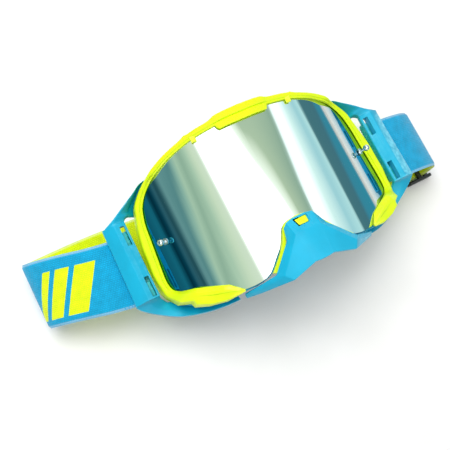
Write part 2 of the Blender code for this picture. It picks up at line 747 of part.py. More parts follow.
def make_strap(parts, finish):
    ribbon("strap_long", STRAP_LONG_ROUTE, parts, finish)
    ribbon("strap_short", STRAP_SHORT_ROUTE, parts, finish)


def make_clips(parts, cutters, finish):
    """The plate at each strap end, with two lugs that snap into the outrigger's windows."""
    for side, name in ((-1, "left"), (1, "right")):
        plate_x = sorted((side * 90.2, side * 98.2))
        clip = box("strap_clip_" + name, (plate_x[0], -24.8, 40.4), (plate_x[1], 20.6, 43.9),
                   parts, finish)
        lugs = []
        for y in SLOT_CENTRES_Y:
            lug_x = sorted((side * (SLOT_INNER_X + GAP), side * (SLOT_OUTER_X - GAP)))
            lugs.append(box("clip_lug", (lug_x[0], y - SLOT_LENGTH / 2 + GAP, 43.0),
                            (lug_x[1], y + SLOT_LENGTH / 2 - 3.2, 48.2), cutters))
        apply_boolean(clip, lugs, "UNION")


def make_slider(parts, cutters, finish):
    """Ladder slider: end bars under the strap, middle bar over it, rails beside it."""
    right = SLIDER_END_X
    left = right - SLIDER_LENGTH
    strap_y = SLIDER_STRAP_Y
    half = STRAP_WIDTH / 2 + 0.6
    strap_low = SLIDER_STRAP_Z - STRAP_THICKNESS / 2 - GAP
    strap_high = SLIDER_STRAP_Z + STRAP_THICKNESS / 2 + GAP
    top = strap_high + SLIDER_BAR_HEIGHT
    floor = strap_low - SLIDER_BAR_HEIGHT
    slider = box("strap_slider", (left, strap_y - half - SLIDER_RAIL, floor),
                 (right, strap_y - half, top), parts, finish)
    joined = [box("slider_rail", (left, strap_y + half, floor),
                  (right, strap_y + half + SLIDER_RAIL, top), cutters)]
    low_y = strap_y - half - SLIDER_RAIL / 2
    high_y = strap_y + half + SLIDER_RAIL / 2
    for x in (left, right - SLIDER_BAR):
        joined.append(box("slider_end_bar", (x, low_y, floor), (x + SLIDER_BAR, high_y, strap_low),
                          cutters))
    middle = (left + right) / 2
    joined.append(box("slider_middle_bar", (middle - SLIDER_BAR / 2, low_y, strap_high),
                      (middle + SLIDER_BAR / 2, high_y, top), cutters))
    apply_boolean(slider, joined, "UNION")
    return slider


def main():
    parts, cutters = start_empty()
    yellow = material("yellow_tpu", YELLOW, 0.42)
    blue = material("blue_nylon", BLUE, 0.4)
    teal = material("clip_acetal", TEAL, 0.45)
    black = material("black_acetal", BLACK, 0.45)
    foam = material("grey_foam", GREY, 0.95)
    fleece = material("black_fleece", BLACK, 1.0)
    webbing = material("blue_webbing", BLUE, 0.8)
    steel = material("bright_steel", STEEL, 0.2, 1.0)
    mirror = material("mirror_lens", MIRROR, 0.05, 1.0)
    seal = material("seal_foam", TAN, 0.95)
    make_lens(parts, cutters, mirror)
    make_seal(parts, seal)
    make_front_frame(parts, cutters, yellow)
    make_rear_frame(parts, cutters, blue)
    make_foams(parts, seal, foam, fleece)
    make_vent_foams(parts, foam)
    make_posts(parts, cutters, steel, black)
    make_nose_guard(parts, cutters, blue, yellow)
    make_strap(parts, webbing)
    make_clips(parts, cutters, teal)
    make_slider(parts, cutters, black)


main()
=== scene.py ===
"""Looks of the motocross goggles: shells, lens, foams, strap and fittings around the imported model.

Same frame as the model: +X is the goggles' right side as seen from in front, +Y is towards
the brow, +Z comes out of the lens, and the table is z = 0. Tables below are in millimetres.
"""
import math

import bmesh
import bpy
from bpy.props import FloatProperty, FloatVectorProperty, PointerProperty
from mathutils import Matrix, Vector, noise


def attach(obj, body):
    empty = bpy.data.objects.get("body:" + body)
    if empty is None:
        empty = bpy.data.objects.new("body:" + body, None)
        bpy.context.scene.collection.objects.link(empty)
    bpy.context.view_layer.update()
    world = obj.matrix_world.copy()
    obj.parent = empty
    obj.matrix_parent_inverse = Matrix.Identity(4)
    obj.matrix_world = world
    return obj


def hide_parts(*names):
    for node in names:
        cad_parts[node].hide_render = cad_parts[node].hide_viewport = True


bl_info = {
    "name": "Motocross goggles",
    "version": (1, 0, 0),
    "blender": (4, 5, 0),
    "location": "3D View > Sidebar > Goggles",
    "description": "Builds the pieces of a pair of motocross goggles and a pale studio",
    "category": "Object",
}

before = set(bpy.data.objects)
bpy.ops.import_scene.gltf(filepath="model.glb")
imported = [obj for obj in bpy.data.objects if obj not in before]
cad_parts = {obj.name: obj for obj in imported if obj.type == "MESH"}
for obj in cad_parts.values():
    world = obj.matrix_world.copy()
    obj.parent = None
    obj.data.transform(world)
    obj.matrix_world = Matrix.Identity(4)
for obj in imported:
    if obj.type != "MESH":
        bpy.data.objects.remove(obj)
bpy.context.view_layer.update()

MM = 0.001
GAP = 0.35
SHARP = 38
SIDES = ((-1, "left"), (1, "right"))

# Lens: its fall from the crown is an even polynomial of x / LENS_HALF_WIDTH.
LENS_CROWN = 81.0
LENS_HALF_WIDTH = 80.0
LENS_FALL_SQUARE = 17.1
LENS_FALL_FOURTH = 19.0
LENS_FALL_SIXTH = -2.9
LENS_THICKNESS = 1.2

# Back of the foam, a cylinder about Y, and the layers between it and the chassis.
FACE_RADIUS = 107.0
FOAM_HALF_WIDTH = 80.0
FOAM_LOW_POINT = 2.6
SEAL_LAYERS = 1.2 + 2 * GAP
FOAM_LAYERS = 14.5 + 3 * GAP

# Front frame: inner edge x, y, outer edge x, y, height of the top, overlap on the lens.
FRAME_STATIONS = (
    (0.0, 50.6, 0.0, 57.2, 84.3, 2.4), (9.0, 50.6, 9.0, 57.0, 84.0, 2.4),
    (16.0, 50.4, 16.6, 56.5, 83.3, 2.4), (20.0, 50.2, 21.4, 55.0, 82.0, 2.4),
    (30.0, 49.4, 31.5, 53.9, 80.4, 2.4), (38.0, 48.4, 40.0, 52.2, 78.4, 2.4),
    (51.0, 45.4, 53.4, 48.7, 73.6, 2.4), (60.0, 42.0, 62.6, 45.0, 69.4, 2.4),
    (64.0, 40.2, 66.4, 42.9, 67.0, 2.4), (68.0, 37.6, 70.8, 40.2, 61.4, 2.4),
    (72.5, 33.6, 75.8, 36.2, 57.0, 2.4), (76.0, 28.6, 80.4, 30.8, 53.7, 2.4),
    (77.7, 24.0, 82.4, 25.0, 52.0, 2.4), (79.2, 17.0, 84.6, 17.2, 50.2, 2.4),
    (80.2, 6.0, 86.8, 6.0, 49.0, 2.4), (81.2, -5.0, 87.6, -5.0, 48.0, 2.4),
    (82.0, -14.0, 88.2, -14.0, 47.2, 2.4), (82.3, -21.0, 87.6, -22.0, 46.8, 2.4),
    (81.2, -26.4, 86.6, -28.4, 48.4, 2.6), (78.4, -29.4, 84.2, -32.2, 52.0, 2.8),
    (75.0, -31.2, 81.8, -36.4, 58.4, 3.2), (71.0, -32.8, 75.3, -39.4, 64.4, 3.6),
    (69.6, -33.4, 74.4, -42.4, 65.2, 3.8), (61.5, -36.6, 67.2, -45.9, 68.4, 5.0),
    (53.0, -40.4, 57.4, -48.4, 73.0, 5.0),
)
FRAME_TIP = (46.9, -48.0, 76.2)
SKIRT_DEPTH = 5.0
SKIRT_WALL = 1.2
SKIRT_END_X = 58.0
SKIRT_TAPER = 18.0
BRACKET_START_Y = -24.0
BRACKET_DIP = 1.5
BRACKET_DIP_X = 59.0
BRACKET_DIP_HALF = 8.0
FIRST_FLAT_STATION = 20
VISOR_HALF_WIDTH = 17.1
VISOR_CORNER = 1.4
VISOR_REACH = 3.4
SILHOUETTE_BUMP_X = 36.7

# Film hooks: middle in x, then steps along x with their scale, and the section in y, z.
HOOK_X = 34.1
HOOK_STEPS = ((-1.7, 0.72), (-1.4, 1.0), (1.4, 1.0), (1.7, 0.72))
HOOK_SECTION = ((51.0, 79.4), (46.8, 79.2), (46.3, 78.2), (51.0, 78.1))
HOOK_MIDDLE_Z = 78.7

# Lower edge of the lens, from the frame's lower corner to the nose.
LENS_LOWER_EDGE = ((45.6, -47.4), (36.0, -47.8), (29.0, -45.6), (22.6, -39.6), (16.0, -33.6),
                   (9.0, -28.8), (0.0, -26.8))

# Chassis: front outline x, y, rear outline x, y, from the brow to the nose.
CHASSIS_STATIONS = (
    (0.0, 55.4, 0.0, 50.0), (17.0, 54.2, 15.0, 49.5), (34.0, 51.8, 31.0, 47.5),
    (50.0, 47.6, 47.0, 43.0), (63.0, 42.4, 60.0, 36.0), (73.0, 36.0, 70.0, 27.0),
    (80.0, 27.0, 76.5, 16.0), (84.6, 13.0, 79.5, 4.0), (86.8, -1.0, 80.0, -8.0),
    (87.4, -14.0, 79.0, -18.0), (85.6, -26.0, 76.0, -27.0), (80.4, -36.6, 70.0, -35.0),
    (70.5, -43.6, 61.0, -41.0), (58.0, -47.8, 50.0, -44.0), (46.0, -48.5, 40.0, -44.4),
    (36.0, -48.7, 31.0, -41.0), (27.0, -46.0, 23.5, -34.5), (18.0, -38.0, 16.0, -26.6),
    (9.5, -31.8, 8.5, -20.6), (0.0, -29.6, 0.0, -18.4),
)
CHASSIS_WALL = 2.2
CHASSIS_FLANGE = 2.0
FRONT_FLANGE_WIDTH = 7.5
FOAM_FLANGE_WIDTH = 8.0

# Vent windows: the brow's as x and height, the others as spans in x, y and z.
BROW_VENTS = ((-36, 57), (-13, 62), (13, 62), (36, 57))
BROW_VENT_HALF = (8, 3)
BROW_VENT_Y = (42, 62)
SIDE_VENT = ((77.2, 92.0), (-14.3, 5.3), (27.6, 33.4))
CHEEK_VENT = ((42.0, 56.0), (-60, -40), (46, 52))
VENT_CORNER = 1.2

# Outrigger, from the brow over the strap panel to the chin: outer edge, ridge, inner edge
# and foot of the top, then the thickness at the outer edge and at the foot.
OUTRIGGER_ROWS = (
    (65.6, 43.1, 57.4, 65.3, 42.7, 57.4, 64.6, 42.0, 57.3, 61.3, 37.0, 55.0, 11.0, 9.0),
    (72.8, 41.4, 58.0, 72.5, 41.3, 57.6, 71.8, 41.2, 54.6, 66.8, 34.8, 50.6, 11.0, 8.0),
    (78.6, 38.0, 57.2, 78.2, 37.8, 56.8, 77.4, 37.4, 48.4, 71.3, 31.3, 45.2, 10.0, 4.0),
    (87.0, 33.6, 54.8, 86.2, 33.2, 54.4, 83.4, 32.0, 45.2, 76.7, 25.7, 39.2, 10.6, 3.0),
    (96.0, 29.0, 50.8, 93.4, 29.4, 52.8, 87.0, 28.6, 49.0, 85.6, 27.8, 44.6, 5.2, 1.2),
    (104.0, 25.2, 47.9, 97.2, 26.0, 51.9, 89.8, 26.2, 48.6, 89.7, 26.0, 45.8, 3.4, 1.0),
    (105.0, 21.0, 47.2, 97.5, 21.0, 52.0, 90.0, 21.0, 48.4, 90.0, 21.0, 46.0, 3.4, 1.0),
    (106.0, -22.0, 47.0, 97.8, -22.0, 52.0, 90.0, -22.0, 48.4, 90.0, -22.0, 46.0, 3.4, 1.0),
    (106.1, -25.8, 47.0, 97.9, -25.6, 51.4, 90.0, -25.4, 48.1, 90.0, -25.2, 46.0, 3.4, 1.4),
    (106.0, -27.2, 46.0, 97.4, -27.4, 47.2, 90.3, -27.4, 45.8, 90.0, -27.0, 44.4, 3.4, 2.4),
    (103.0, -30.4, 44.2, 96.0, -30.4, 44.6, 89.0, -29.6, 42.8, 88.4, -29.2, 41.6, 3.8, 2.8),
    (97.0, -35.0, 42.0, 92.4, -34.0, 42.0, 86.6, -32.0, 39.8, 86.0, -31.6, 38.6, 4.0, 2.8),
    (86.0, -41.8, 40.4, 84.0, -38.6, 39.9, 81.6, -33.0, 39.0, 81.0, -32.6, 37.6, 5.0, 3.6),
    (77.6, -45.6, 43.6, 77.0, -43.0, 42.2, 75.0, -37.0, 39.0, 74.6, -36.6, 37.6, 6.0, 4.6),
    (67.0, -48.8, 49.6, 66.7, -46.4, 48.0, 65.6, -40.0, 44.0, 65.4, -39.6, 42.6, 7.0, 5.6),
    (57.0, -50.6, 56.4, 56.9, -48.6, 55.0, 56.4, -43.6, 51.0, 56.3, -43.2, 49.6, 8.0, 6.6),
    (48.6, -51.2, 61.8, 48.5, -49.4, 60.0, 48.2, -45.4, 56.0, 48.1, -45.0, 54.6, 8.0, 6.6),
)
PANEL_ROW = 6
SLOT_X = (91.4, 94.6)
SLOT_Z = (40, 56)
SLOT_CENTRES_Y = (16.4, -18.6)
SLOT_LENGTH = 13.4

# Strap clips: the plate, its lugs in the slots, and the line of grip ribs along its edge.
CLIP_PLATE = ((90.2, 98.2), (-24.8, 20.6), (40.4, 43.9))
LUG_Z = (43.0, 46.0)
LUG_END_ROOM = 3.2
RIB_LINE_X, RIB_LINE_Z = 90.1, 42.15
RIB_LINE_Y = (-22.0, 0.0, 18.0)

# Nose guard: half of its faceted skin, as named corners.
GUARD = {
    "top_mid": (0.0, -22.0, 86.8), "top_in": (4.6, -22.1, 86.8), "top_out": (9.2, -23.2, 87.4),
    "edge_top": (11.4, -25.6, 85.0),
    "brow_mid": (0.0, -32.2, 92.2), "brow_in": (4.4, -32.2, 92.1), "brow_out": (8.7, -32.7, 91.4),
    "edge_mid": (14.2, -33.4, 87.6),
    "chin_mid": (0.0, -52.2, 95.2), "chin_in": (3.2, -52.1, 95.2), "chin_out": (6.4, -51.7, 94.9),
    "wing_low": (21.8, -55.9, 90.8), "wing_crease": (25.5, -51.2, 89.2),
    "edge_low": (28.8, -48.4, 85.4),
    "tail_low": (37.4, -54.0, 73.4), "tail_mid": (38.6, -51.8, 74.8),
    "tail_in": (39.2, -49.6, 76.0),
    "tip_low": (46.0, -52.6, 66.6), "tip_mid": (46.6, -51.4, 67.4), "tip_in": (46.8, -50.0, 68.4),
}
GUARD_FACES = (
    ("top_mid", "top_in", "brow_in", "brow_mid"), ("top_in", "top_out", "brow_out", "brow_in"),
    ("top_out", "edge_top", "edge_mid", "brow_out"),
    ("brow_mid", "brow_in", "chin_in", "chin_mid"), ("brow_in", "brow_out", "chin_out", "chin_in"),
    ("brow_out", "wing_crease", "wing_low", "chin_out"),
    ("brow_out", "edge_mid", "edge_low", "wing_crease"),
    ("wing_low", "wing_crease", "tail_mid", "tail_low"),
    ("wing_crease", "edge_low", "tail_in", "tail_mid"),
    ("tail_low", "tail_mid", "tip_mid", "tip_low"), ("tail_mid", "tail_in", "tip_in", "tip_mid"),
)
BADGE_WINDOW = ((-4.4, -23.6), (4.4, -23.6), (3.6, -28.6), (-3.6, -28.6))
BADGE_OUTLINE = ((-4.1, -23.9), (4.1, -23.9), (3.35, -28.3), (-3.35, -28.3))
LINER_WALL = 1.4
LINER_STATIONS = ((28.6, -46.4, 82.8), (20.0, -38.2, 84.6), (14.6, -31.2, 84.8),
                  (11.2, -25.6, 82.6), (7.6, -22.2, 83.4), (0.0, -21.2, 83.6))

# Strap routes: x, z and the y of the middle line.
SLIDER_STRAP_Z = 3.45
STRAP_LONG_ROUTE = (
    (-98.8, 42.2, -3.5), (-106.0, 41.8, -3.2), (-120.0, 39.6, -0.6), (-136.0, 35.0, 3.6),
    (-149.0, 28.6, 7.2), (-156.4, 21.6, 9.4), (-157.6, 15.4, 10.6), (-153.0, 9.8, 11.8),
    (-142.0, 6.0, 12.8), (-124.0, 3.2, 13.5), (-104.0, 1.5, 13.3), (-88.0, 0.9, 12.5),
    (-70.0, 0.9, 11.3), (-50.0, 0.9, 9.4), (-10.0, 0.9, 4.2), (30.0, 0.9, -0.6),
    (60.0, 0.9, -3.4), (78.0, 0.9, -4.4), (85.0, 1.1, -4.8), (91.0, 2.3, -5.0),
    (97.0, SLIDER_STRAP_Z, -5.2), (103.0, SLIDER_STRAP_Z, -5.3), (134.6, SLIDER_STRAP_Z, -5.3),
)
STRAP_SHORT_ROUTE = (
    (135.1, SLIDER_STRAP_Z, -5.3), (137.6, SLIDER_STRAP_Z + 0.2, -5.2), (140.8, 6.8, -5.0),
    (142.0, 13.4, -4.7), (140.4, 21.6, -4.4), (135.4, 29.6, -4.1), (126.0, 36.0, -3.8),
    (115.0, 39.8, -3.5), (106.0, 41.6, -3.3), (98.8, 42.2, -3.2),
)
STRAP_WIDTH = 45.0
STRAP_THICKNESS = 1.8
STRAP_EDGE_ROUND = 0.9
STRAP_LANES = 22
UP = (0.0, 0.0, 1.0)

# Woven bars: middle and half width along the strap, then their place across it.
BAR_PLACES = ((31.0, 6.5), (45.5, 4.5), (56.0, 2.6), (524.0, 3.0))
BAR_MIDDLE = -2.0
BAR_HALF_HEIGHT = 15.5

# Stitch rows: their places along x and y, and each side's strap height at x = 107 and fall.
STITCH_ROWS_X = (107.6, 109.8, 112.0)
STITCH_MIDDLE_Y = -3.1
STITCH_HALF_ROW = 20.6
STITCH_SEATS = {-1: (41.4, 0.12), 1: (41.3, 0.18)}
STITCH_LIFT = 0.86

# Slider: ends in x, strap's middle in y, then its rails, bars and the cover over the strap.
SLIDER_X = (125.0, 145.0)
SLIDER_Y = -5.3
SLIDER_ROOM = 0.6
SLIDER_RAIL = 2.6
SLIDER_BAR = 3.4
SLIDER_COVER = 2.2

# Tear-off posts: foot, height and radius of the ball, and the pin as radius and height.
POST_BASE_X = 72.8
POST_Y = 1.7
POST_REACH = 6.0
POST_BALL = 2.2
POST_PIN = ((1.0, -4.4), (1.0, 0.35), (2.1, 0.4), (2.3, 0.6), (2.3, 1.3), (2.1, 1.6), (1.2, 1.7),
            (1.0, 1.9), (1.0, 6.5))
POST_HOLE = ((1.4, -4), (1.4, 4))

# Camera in millimetres: place, and its right, up and back directions.
CAMERA_PLACE = (-142.5, -59.3, 449.9)
CAMERA_AXES = ((0.87434, -0.45189, 0.17698), (0.40852, 0.88217, 0.23427),
               (-0.26199, -0.13253, 0.95593))
CAMERA_LENS = 52.0


# ---------------------------------------------------------------- shapes

def linear(hex_colour):
    """Turn an sRGB hex colour to linear red, green and blue."""
    channels = [int(hex_colour[i:i + 2], 16) / 255 for i in (1, 3, 5)]
    return tuple(c / 12.92 if c <= 0.04045 else ((c + 0.055) / 1.055) ** 2.4 for c in channels)


def point(x, y, z):
    """A place given in millimetres."""
    return Vector((x, y, z)) * MM


def drop(radius, x):
    return radius - math.sqrt(radius * radius - x * x)


def lens_top(x):
    share = (x / LENS_HALF_WIDTH) ** 2
    fall = LENS_FALL_SQUARE + (LENS_FALL_FOURTH + LENS_FALL_SIXTH * share) * share
    return LENS_CROWN - fall * share


def lens_back(x):
    return lens_top(x) - LENS_THICKNESS


def chassis_top(x):
    return lens_back(x) - SEAL_LAYERS


def chassis_seat(x):
    face = FOAM_LOW_POINT + drop(FACE_RADIUS, FOAM_HALF_WIDTH) - drop(FACE_RADIUS, x)
    return face + FOAM_LAYERS


def curve_at(rows, t):
    """The row at t on a Catmull-Rom curve through rows of numbers."""
    i = min(int(t), len(rows) - 2)
    t -= i
    before, a, b = rows[max(i - 1, 0)], rows[i], rows[i + 1]
    after = rows[min(i + 2, len(rows) - 1)]
    return [0.5 * (2 * p1 + (p2 - p0) * t + (2 * p0 - 5 * p1 + 4 * p2 - p3) * t ** 2
                   + (3 * p1 - p0 - 3 * p2 + p3) * t ** 3)
            for p0, p1, p2, p3 in zip(before, a, b, after)]


def smooth(rows, steps):
    """Rows of a Catmull-Rom curve, with steps pieces in each span."""
    count = (len(rows) - 1) * steps
    return [curve_at(rows, i / steps) for i in range(count + 1)]


def even_rows(rows, pitch):
    """Rows of a route of x, z, y, a pitch apart along its length."""
    dense = smooth(rows, 40)
    lengths = [0.0]
    for a, b in zip(dense[:-1], dense[1:]):
        lengths.append(lengths[-1] + math.hypot(b[0] - a[0], b[1] - a[1]))
    count = max(2, round(lengths[-1] / pitch))
    made = []
    j = 0
    for i in range(count + 1):
        want = lengths[-1] * i / count
        while j < len(dense) - 2 and lengths[j + 1] < want:
            j += 1
        share = (want - lengths[j]) / max(lengths[j + 1] - lengths[j], 1e-9)
        made.append([a + (b - a) * share for a, b in zip(dense[j], dense[j + 1])] + [want])
    return made


def mirrored_ring(half):
    """A closed outline from its half, which starts and ends at x = 0."""
    return list(half) + [(-p[0],) + tuple(p[1:]) for p in reversed(half[1:-1])]


def inset(outline, distance):
    """Move a closed clockwise outline inwards."""
    moved = []
    for i, (x, y) in enumerate(outline):
        before, after = outline[i - 1], outline[(i + 1) % len(outline)]
        along = Vector((after[0] - before[0], after[1] - before[1])).normalized()
        moved.append((x + along.y * distance, y - along.x * distance))
    return moved


def rounded(section, radius, steps=2):
    """Round every corner of a closed section, each with the same number of points."""
    made = []
    for i, corner in enumerate(section):
        before, after = section[i - 1], section[(i + 1) % len(section)]
        reach_a = min(radius * MM, (before - corner).length * 0.45)
        reach_b = min(radius * MM, (after - corner).length * 0.45)
        start = corner + (before - corner).normalized() * reach_a
        end = corner + (after - corner).normalized() * reach_b
        for step in range(steps + 1):
            t = step / steps
            made.append(start.lerp(corner, t).lerp(corner.lerp(end, t), t))
    return made


def new_object(name, mesh):
    obj = bpy.data.objects.new(name, mesh)
    bpy.context.scene.collection.objects.link(obj)
    return obj


def from_bmesh(name, bm, sharp=SHARP):
    """Finish a bmesh as an object with outward faces and smooth shading between sharp edges."""
    bmesh.ops.remove_doubles(bm, verts=bm.verts, dist=1e-7)
    bmesh.ops.dissolve_degenerate(bm, edges=bm.edges, dist=1e-8)
    bmesh.ops.recalc_face_normals(bm, faces=bm.faces)
    mesh = bpy.data.meshes.new(name)
    bm.to_mesh(mesh)
    bm.free()
    soften(mesh, sharp)
    return new_object(name, mesh)


def soften(mesh, sharp=SHARP):
    mesh.shade_smooth()
    mesh.set_sharp_from_angle(angle=math.radians(sharp))


def skin(name, rows, ring=False):
    """Join rows of points into a closed shell. With ring the last row meets the first."""
    bm = bmesh.new()
    made = [[bm.verts.new(p) for p in row] for row in rows]
    pairs = list(zip(made[:-1], made[1:]))
    if ring:
        pairs.append((made[-1], made[0]))
    for first, second in pairs:
        for i in range(len(first)):
            j = (i + 1) % len(first)
            bm.faces.new((first[i], first[j], second[j], second[i]))
    if not ring:
        bm.faces.new(made[0])
        bm.faces.new(reversed(made[-1]))
    return from_bmesh(name, bm)


def box(name, low, high, bevel):
    """A box between two corners in millimetres, with rounded edges."""
    bm = bmesh.new()
    bmesh.ops.create_cube(bm, size=1.0)
    bmesh.ops.scale(bm, vec=[(b - a) * MM for a, b in zip(low, high)], verts=bm.verts)
    bmesh.ops.translate(bm, vec=[(a + b) / 2 * MM for a, b in zip(low, high)], verts=bm.verts)
    bmesh.ops.bevel(bm, geom=bm.edges, offset=bevel * MM, segments=3, profile=0.5,
                    affect="EDGES")
    return from_bmesh(name, bm)


def side_box(name, side, spans, bevel):
    """A box from its spans in x, y and z on the right, built on either side."""
    x_span, y_span, z_span = spans
    x_span = sorted((side * x_span[0], side * x_span[1]))
    return box(name, *zip(x_span, y_span, z_span), bevel)


def make_plain(obj):
    """Turn an object's modifiers into plain mesh."""
    graph = bpy.context.evaluated_depsgraph_get()
    graph.update()
    mesh = bpy.data.meshes.new_from_object(obj.evaluated_get(graph))
    obj.modifiers.clear()
    old = obj.data
    obj.data = mesh
    mesh.name = obj.name
    bpy.data.meshes.remove(old)
    return obj


def combine(obj, others, operation):
    """Join, cut or intersect obj with closed shells, which are then removed."""
    for other in others:
        modifier = obj.modifiers.new(operation.lower(), "BOOLEAN")
        modifier.operation = operation
        modifier.solver = "EXACT"
        modifier.object = other
    make_plain(obj)
    for other in others:
        bpy.data.objects.remove(other, do_unlink=True)
    soften(obj.data)
    return obj


def join_shells(obj, others):
    """Put closed shells that meet obj into its mesh, and remove their own objects."""
    bm = bmesh.new()
    bm.from_mesh(obj.data)
    for other in others:
        bm.from_mesh(other.data)
        bpy.data.objects.remove(other, do_unlink=True)
    bm.to_mesh(obj.data)
    bm.free()
    soften(obj.data)


def turned(name, profile, foot, along, sides=40):
    """A turned pin: radius and height pairs spun about an axis from its foot."""
    turn = Vector(along).to_track_quat("Z", "Y").to_matrix().to_4x4()
    place = Matrix.Translation(foot) @ turn
    angles = [2 * math.pi * i / sides for i in range(sides)]
    return skin(name, [[place @ point(radius * math.cos(a), radius * math.sin(a), height)
                        for a in angles] for radius, height in profile])


def place_piece(obj, finish, body, slot, *nodes):
    """Give a piece its finish and its body, and hide the model nodes that it stands for. The slot is
    not used.
    """
    if finish:
        obj.data.materials.clear()
        obj.data.materials.append(finish)
    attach(obj, body)
    if nodes:
        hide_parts(*nodes)
    return obj


# ---------------------------------------------------------------- material nodes

def add(tree, kind, links=None, **settings):
    """Add a node with its settings, and set or link its inputs by name or number."""
    made = tree.nodes.new(kind)
    for name, value in settings.items():
        setattr(made, name, value)
    for name, value in (links or {}).items():
        if isinstance(value, bpy.types.NodeSocket):
            tree.links.new(value, made.inputs[name])
        else:
            made.inputs[name].default_value = value
    return made


def new_finish(name):
    """An empty material with its output; returns the material, its tree and a Principled."""
    made = bpy.data.materials.new(name)
    made.use_nodes = True
    tree = made.node_tree
    tree.nodes.clear()
    shader = add(tree, "ShaderNodeBsdfPrincipled")
    add(tree, "ShaderNodeOutputMaterial", {"Surface": shader.outputs[0]})
    return made, tree, shader


def plug(tree, shader, **links):
    """Set or link a shader's inputs, whose names use _ for a space."""
    for name, value in links.items():
        socket = shader.inputs[name.replace("_", " ")]
        if isinstance(value, bpy.types.NodeSocket):
            tree.links.new(value, socket)
        else:
            socket.default_value = value


def maths(tree, operation, a, b=0.0, c=0.0):
    return add(tree, "ShaderNodeMath", {0: a, 1: b, 2: c}, operation=operation).outputs[0]


def mix(tree, share, a, b, blend="MIX"):
    """Mix two colours."""
    made = add(tree, "ShaderNodeMix", data_type="RGBA", blend_type=blend)
    for socket, value in ((made.inputs[0], share), (made.inputs[6], a), (made.inputs[7], b)):
        if isinstance(value, bpy.types.NodeSocket):
            tree.links.new(value, socket)
        elif hasattr(value, "__len__"):
            socket.default_value = (*value, 1.0)[:4]
        else:
            socket.default_value = value
    return made.outputs[2]


def spread(tree, value, low, high, new_low, new_high):
    return add(tree, "ShaderNodeMapRange", {0: value, 1: low, 2: high, 3: new_low, 4: new_high},
               clamp=True).outputs[0]


def grains(tree, size_mm, detail=2.0, roughness=0.5):
    """Noise on Object coordinates whose lumps are size_mm across."""
    place = add(tree, "ShaderNodeTexCoord").outputs["Object"]
    return add(tree, "ShaderNodeTexNoise", {"Vector": place, "Scale": 1000.0 / size_mm,
                                            "Detail": detail, "Roughness": roughness}).outputs[0]


def relief(tree, height, depth_mm):
    return add(tree, "ShaderNodeBump", {"Height": height, "Distance": depth_mm * MM,
                                        "Strength": 1.0}).outputs[0]


def scaled(colour, factor):
    return tuple(c * factor for c in colour)


def moulded(name, colour, pale, roughness, ior, grain_mm, painted_glow=0.0):
    """Injection-moulded plastic: spark-eroded grain, faint flow marks, and a painted highlight that
    lightens sharp edges in patches.
    """
    made, tree, shader = new_finish(name)
    flow = grains(tree, 14.0, 3.0)
    fine = grains(tree, grain_mm, 3.0, 0.6)
    # Painted highlight: sharp edges, found by pointiness, are lightened towards the pale colour in
    # patches.
    edge_highlight = spread(tree, add(tree, "ShaderNodeNewGeometry").outputs["Pointiness"], 0.53, 0.6, 0, 1)
    patchy_edge_highlight = maths(tree, "MULTIPLY", edge_highlight, spread(tree, grains(tree, 3.0), 0.35, 0.65, 0.2, 0.8))
    tone = mix(tree, spread(tree, flow, 0.35, 0.65, 0.0, 1.0), scaled(colour, 0.9), colour)
    # Emission in the part's own colour is a painted glow; it is off unless a finish asks for it.
    plug(tree, shader, Base_Color=mix(tree, patchy_edge_highlight, tone, pale), IOR=ior,
         Roughness=spread(tree, fine, 0.3, 0.7, roughness - 0.05, roughness + 0.08),
         Normal=relief(tree, fine, 0.02),
         Emission_Color=(*colour, 1.0), Emission_Strength=painted_glow)
    return made


def yellow_tpu():
    # TPU, injection moulded with a fluorescent pigment: satin, soft highlights, and a slight painted
    # glow from constant emission in its own colour.
    made = moulded("fluorescent_tpu_moulded", colours().yellow, linear("#FBFF6A"), 0.42, 1.5, 0.5,
                   painted_glow=0.03)
    shader = made.node_tree.nodes["Principled BSDF"]
    shader.inputs["Subsurface Weight"].default_value = 0.12
    shader.inputs["Subsurface Radius"].default_value = (1.0, 1.0, 0.2)
    shader.inputs["Subsurface Scale"].default_value = 0.002
    return made


def blue_nylon():
    # Nylon, injection moulded: a fine satin grain that spreads the highlights.
    return moulded("blue_nylon_moulded", colours().blue, linear("#7FDFF5"), 0.36, 1.53, 0.45)


def teal_acetal():
    # Acetal, injection moulded: denser and glossier than nylon.
    return moulded("teal_acetal_moulded", colours().teal, linear("#4FC9BE"), 0.33, 1.48, 0.5)


def black_acetal():
    # Acetal, black, moulded: a satin that shows grey only in the highlights.
    return moulded("black_acetal_moulded", linear("#111315"), linear("#3A3D40"), 0.38, 1.48, 0.5)


def mirror_polycarbonate():
    """Polycarbonate with a sputtered mirror coat: silver, thinner at its ends, where it turns teal,
    partly the coat's tint and partly a painted reflection of the blue parts beside the lens.
    """
    made, tree, shader = new_finish("mirror_coated_polycarbonate")
    place = add(tree, "ShaderNodeTexCoord").outputs["Object"]
    x = add(tree, "ShaderNodeSeparateXYZ", {0: place}).outputs[0]
    # Painted reflection: past about 61 mm from the middle the coat's colour turns teal, partly its
    # own tint and partly the blue parts mirrored.
    ends = spread(tree, maths(tree, "ABSOLUTE", x), 0.061, 0.069, 0.0, 1.0)
    coat = mix(tree, ends, colours().mirror, colours().mirror_end_tint_and_reflection)
    film = grains(tree, 30.0, 2.0)
    plug(tree, shader, Metallic=1.0, Base_Color=coat,
         Roughness=spread(tree, film, 0.3, 0.7, 0.02, 0.05),
         Normal=relief(tree, grains(tree, 22.0, 1.0), 0.012))
    return made


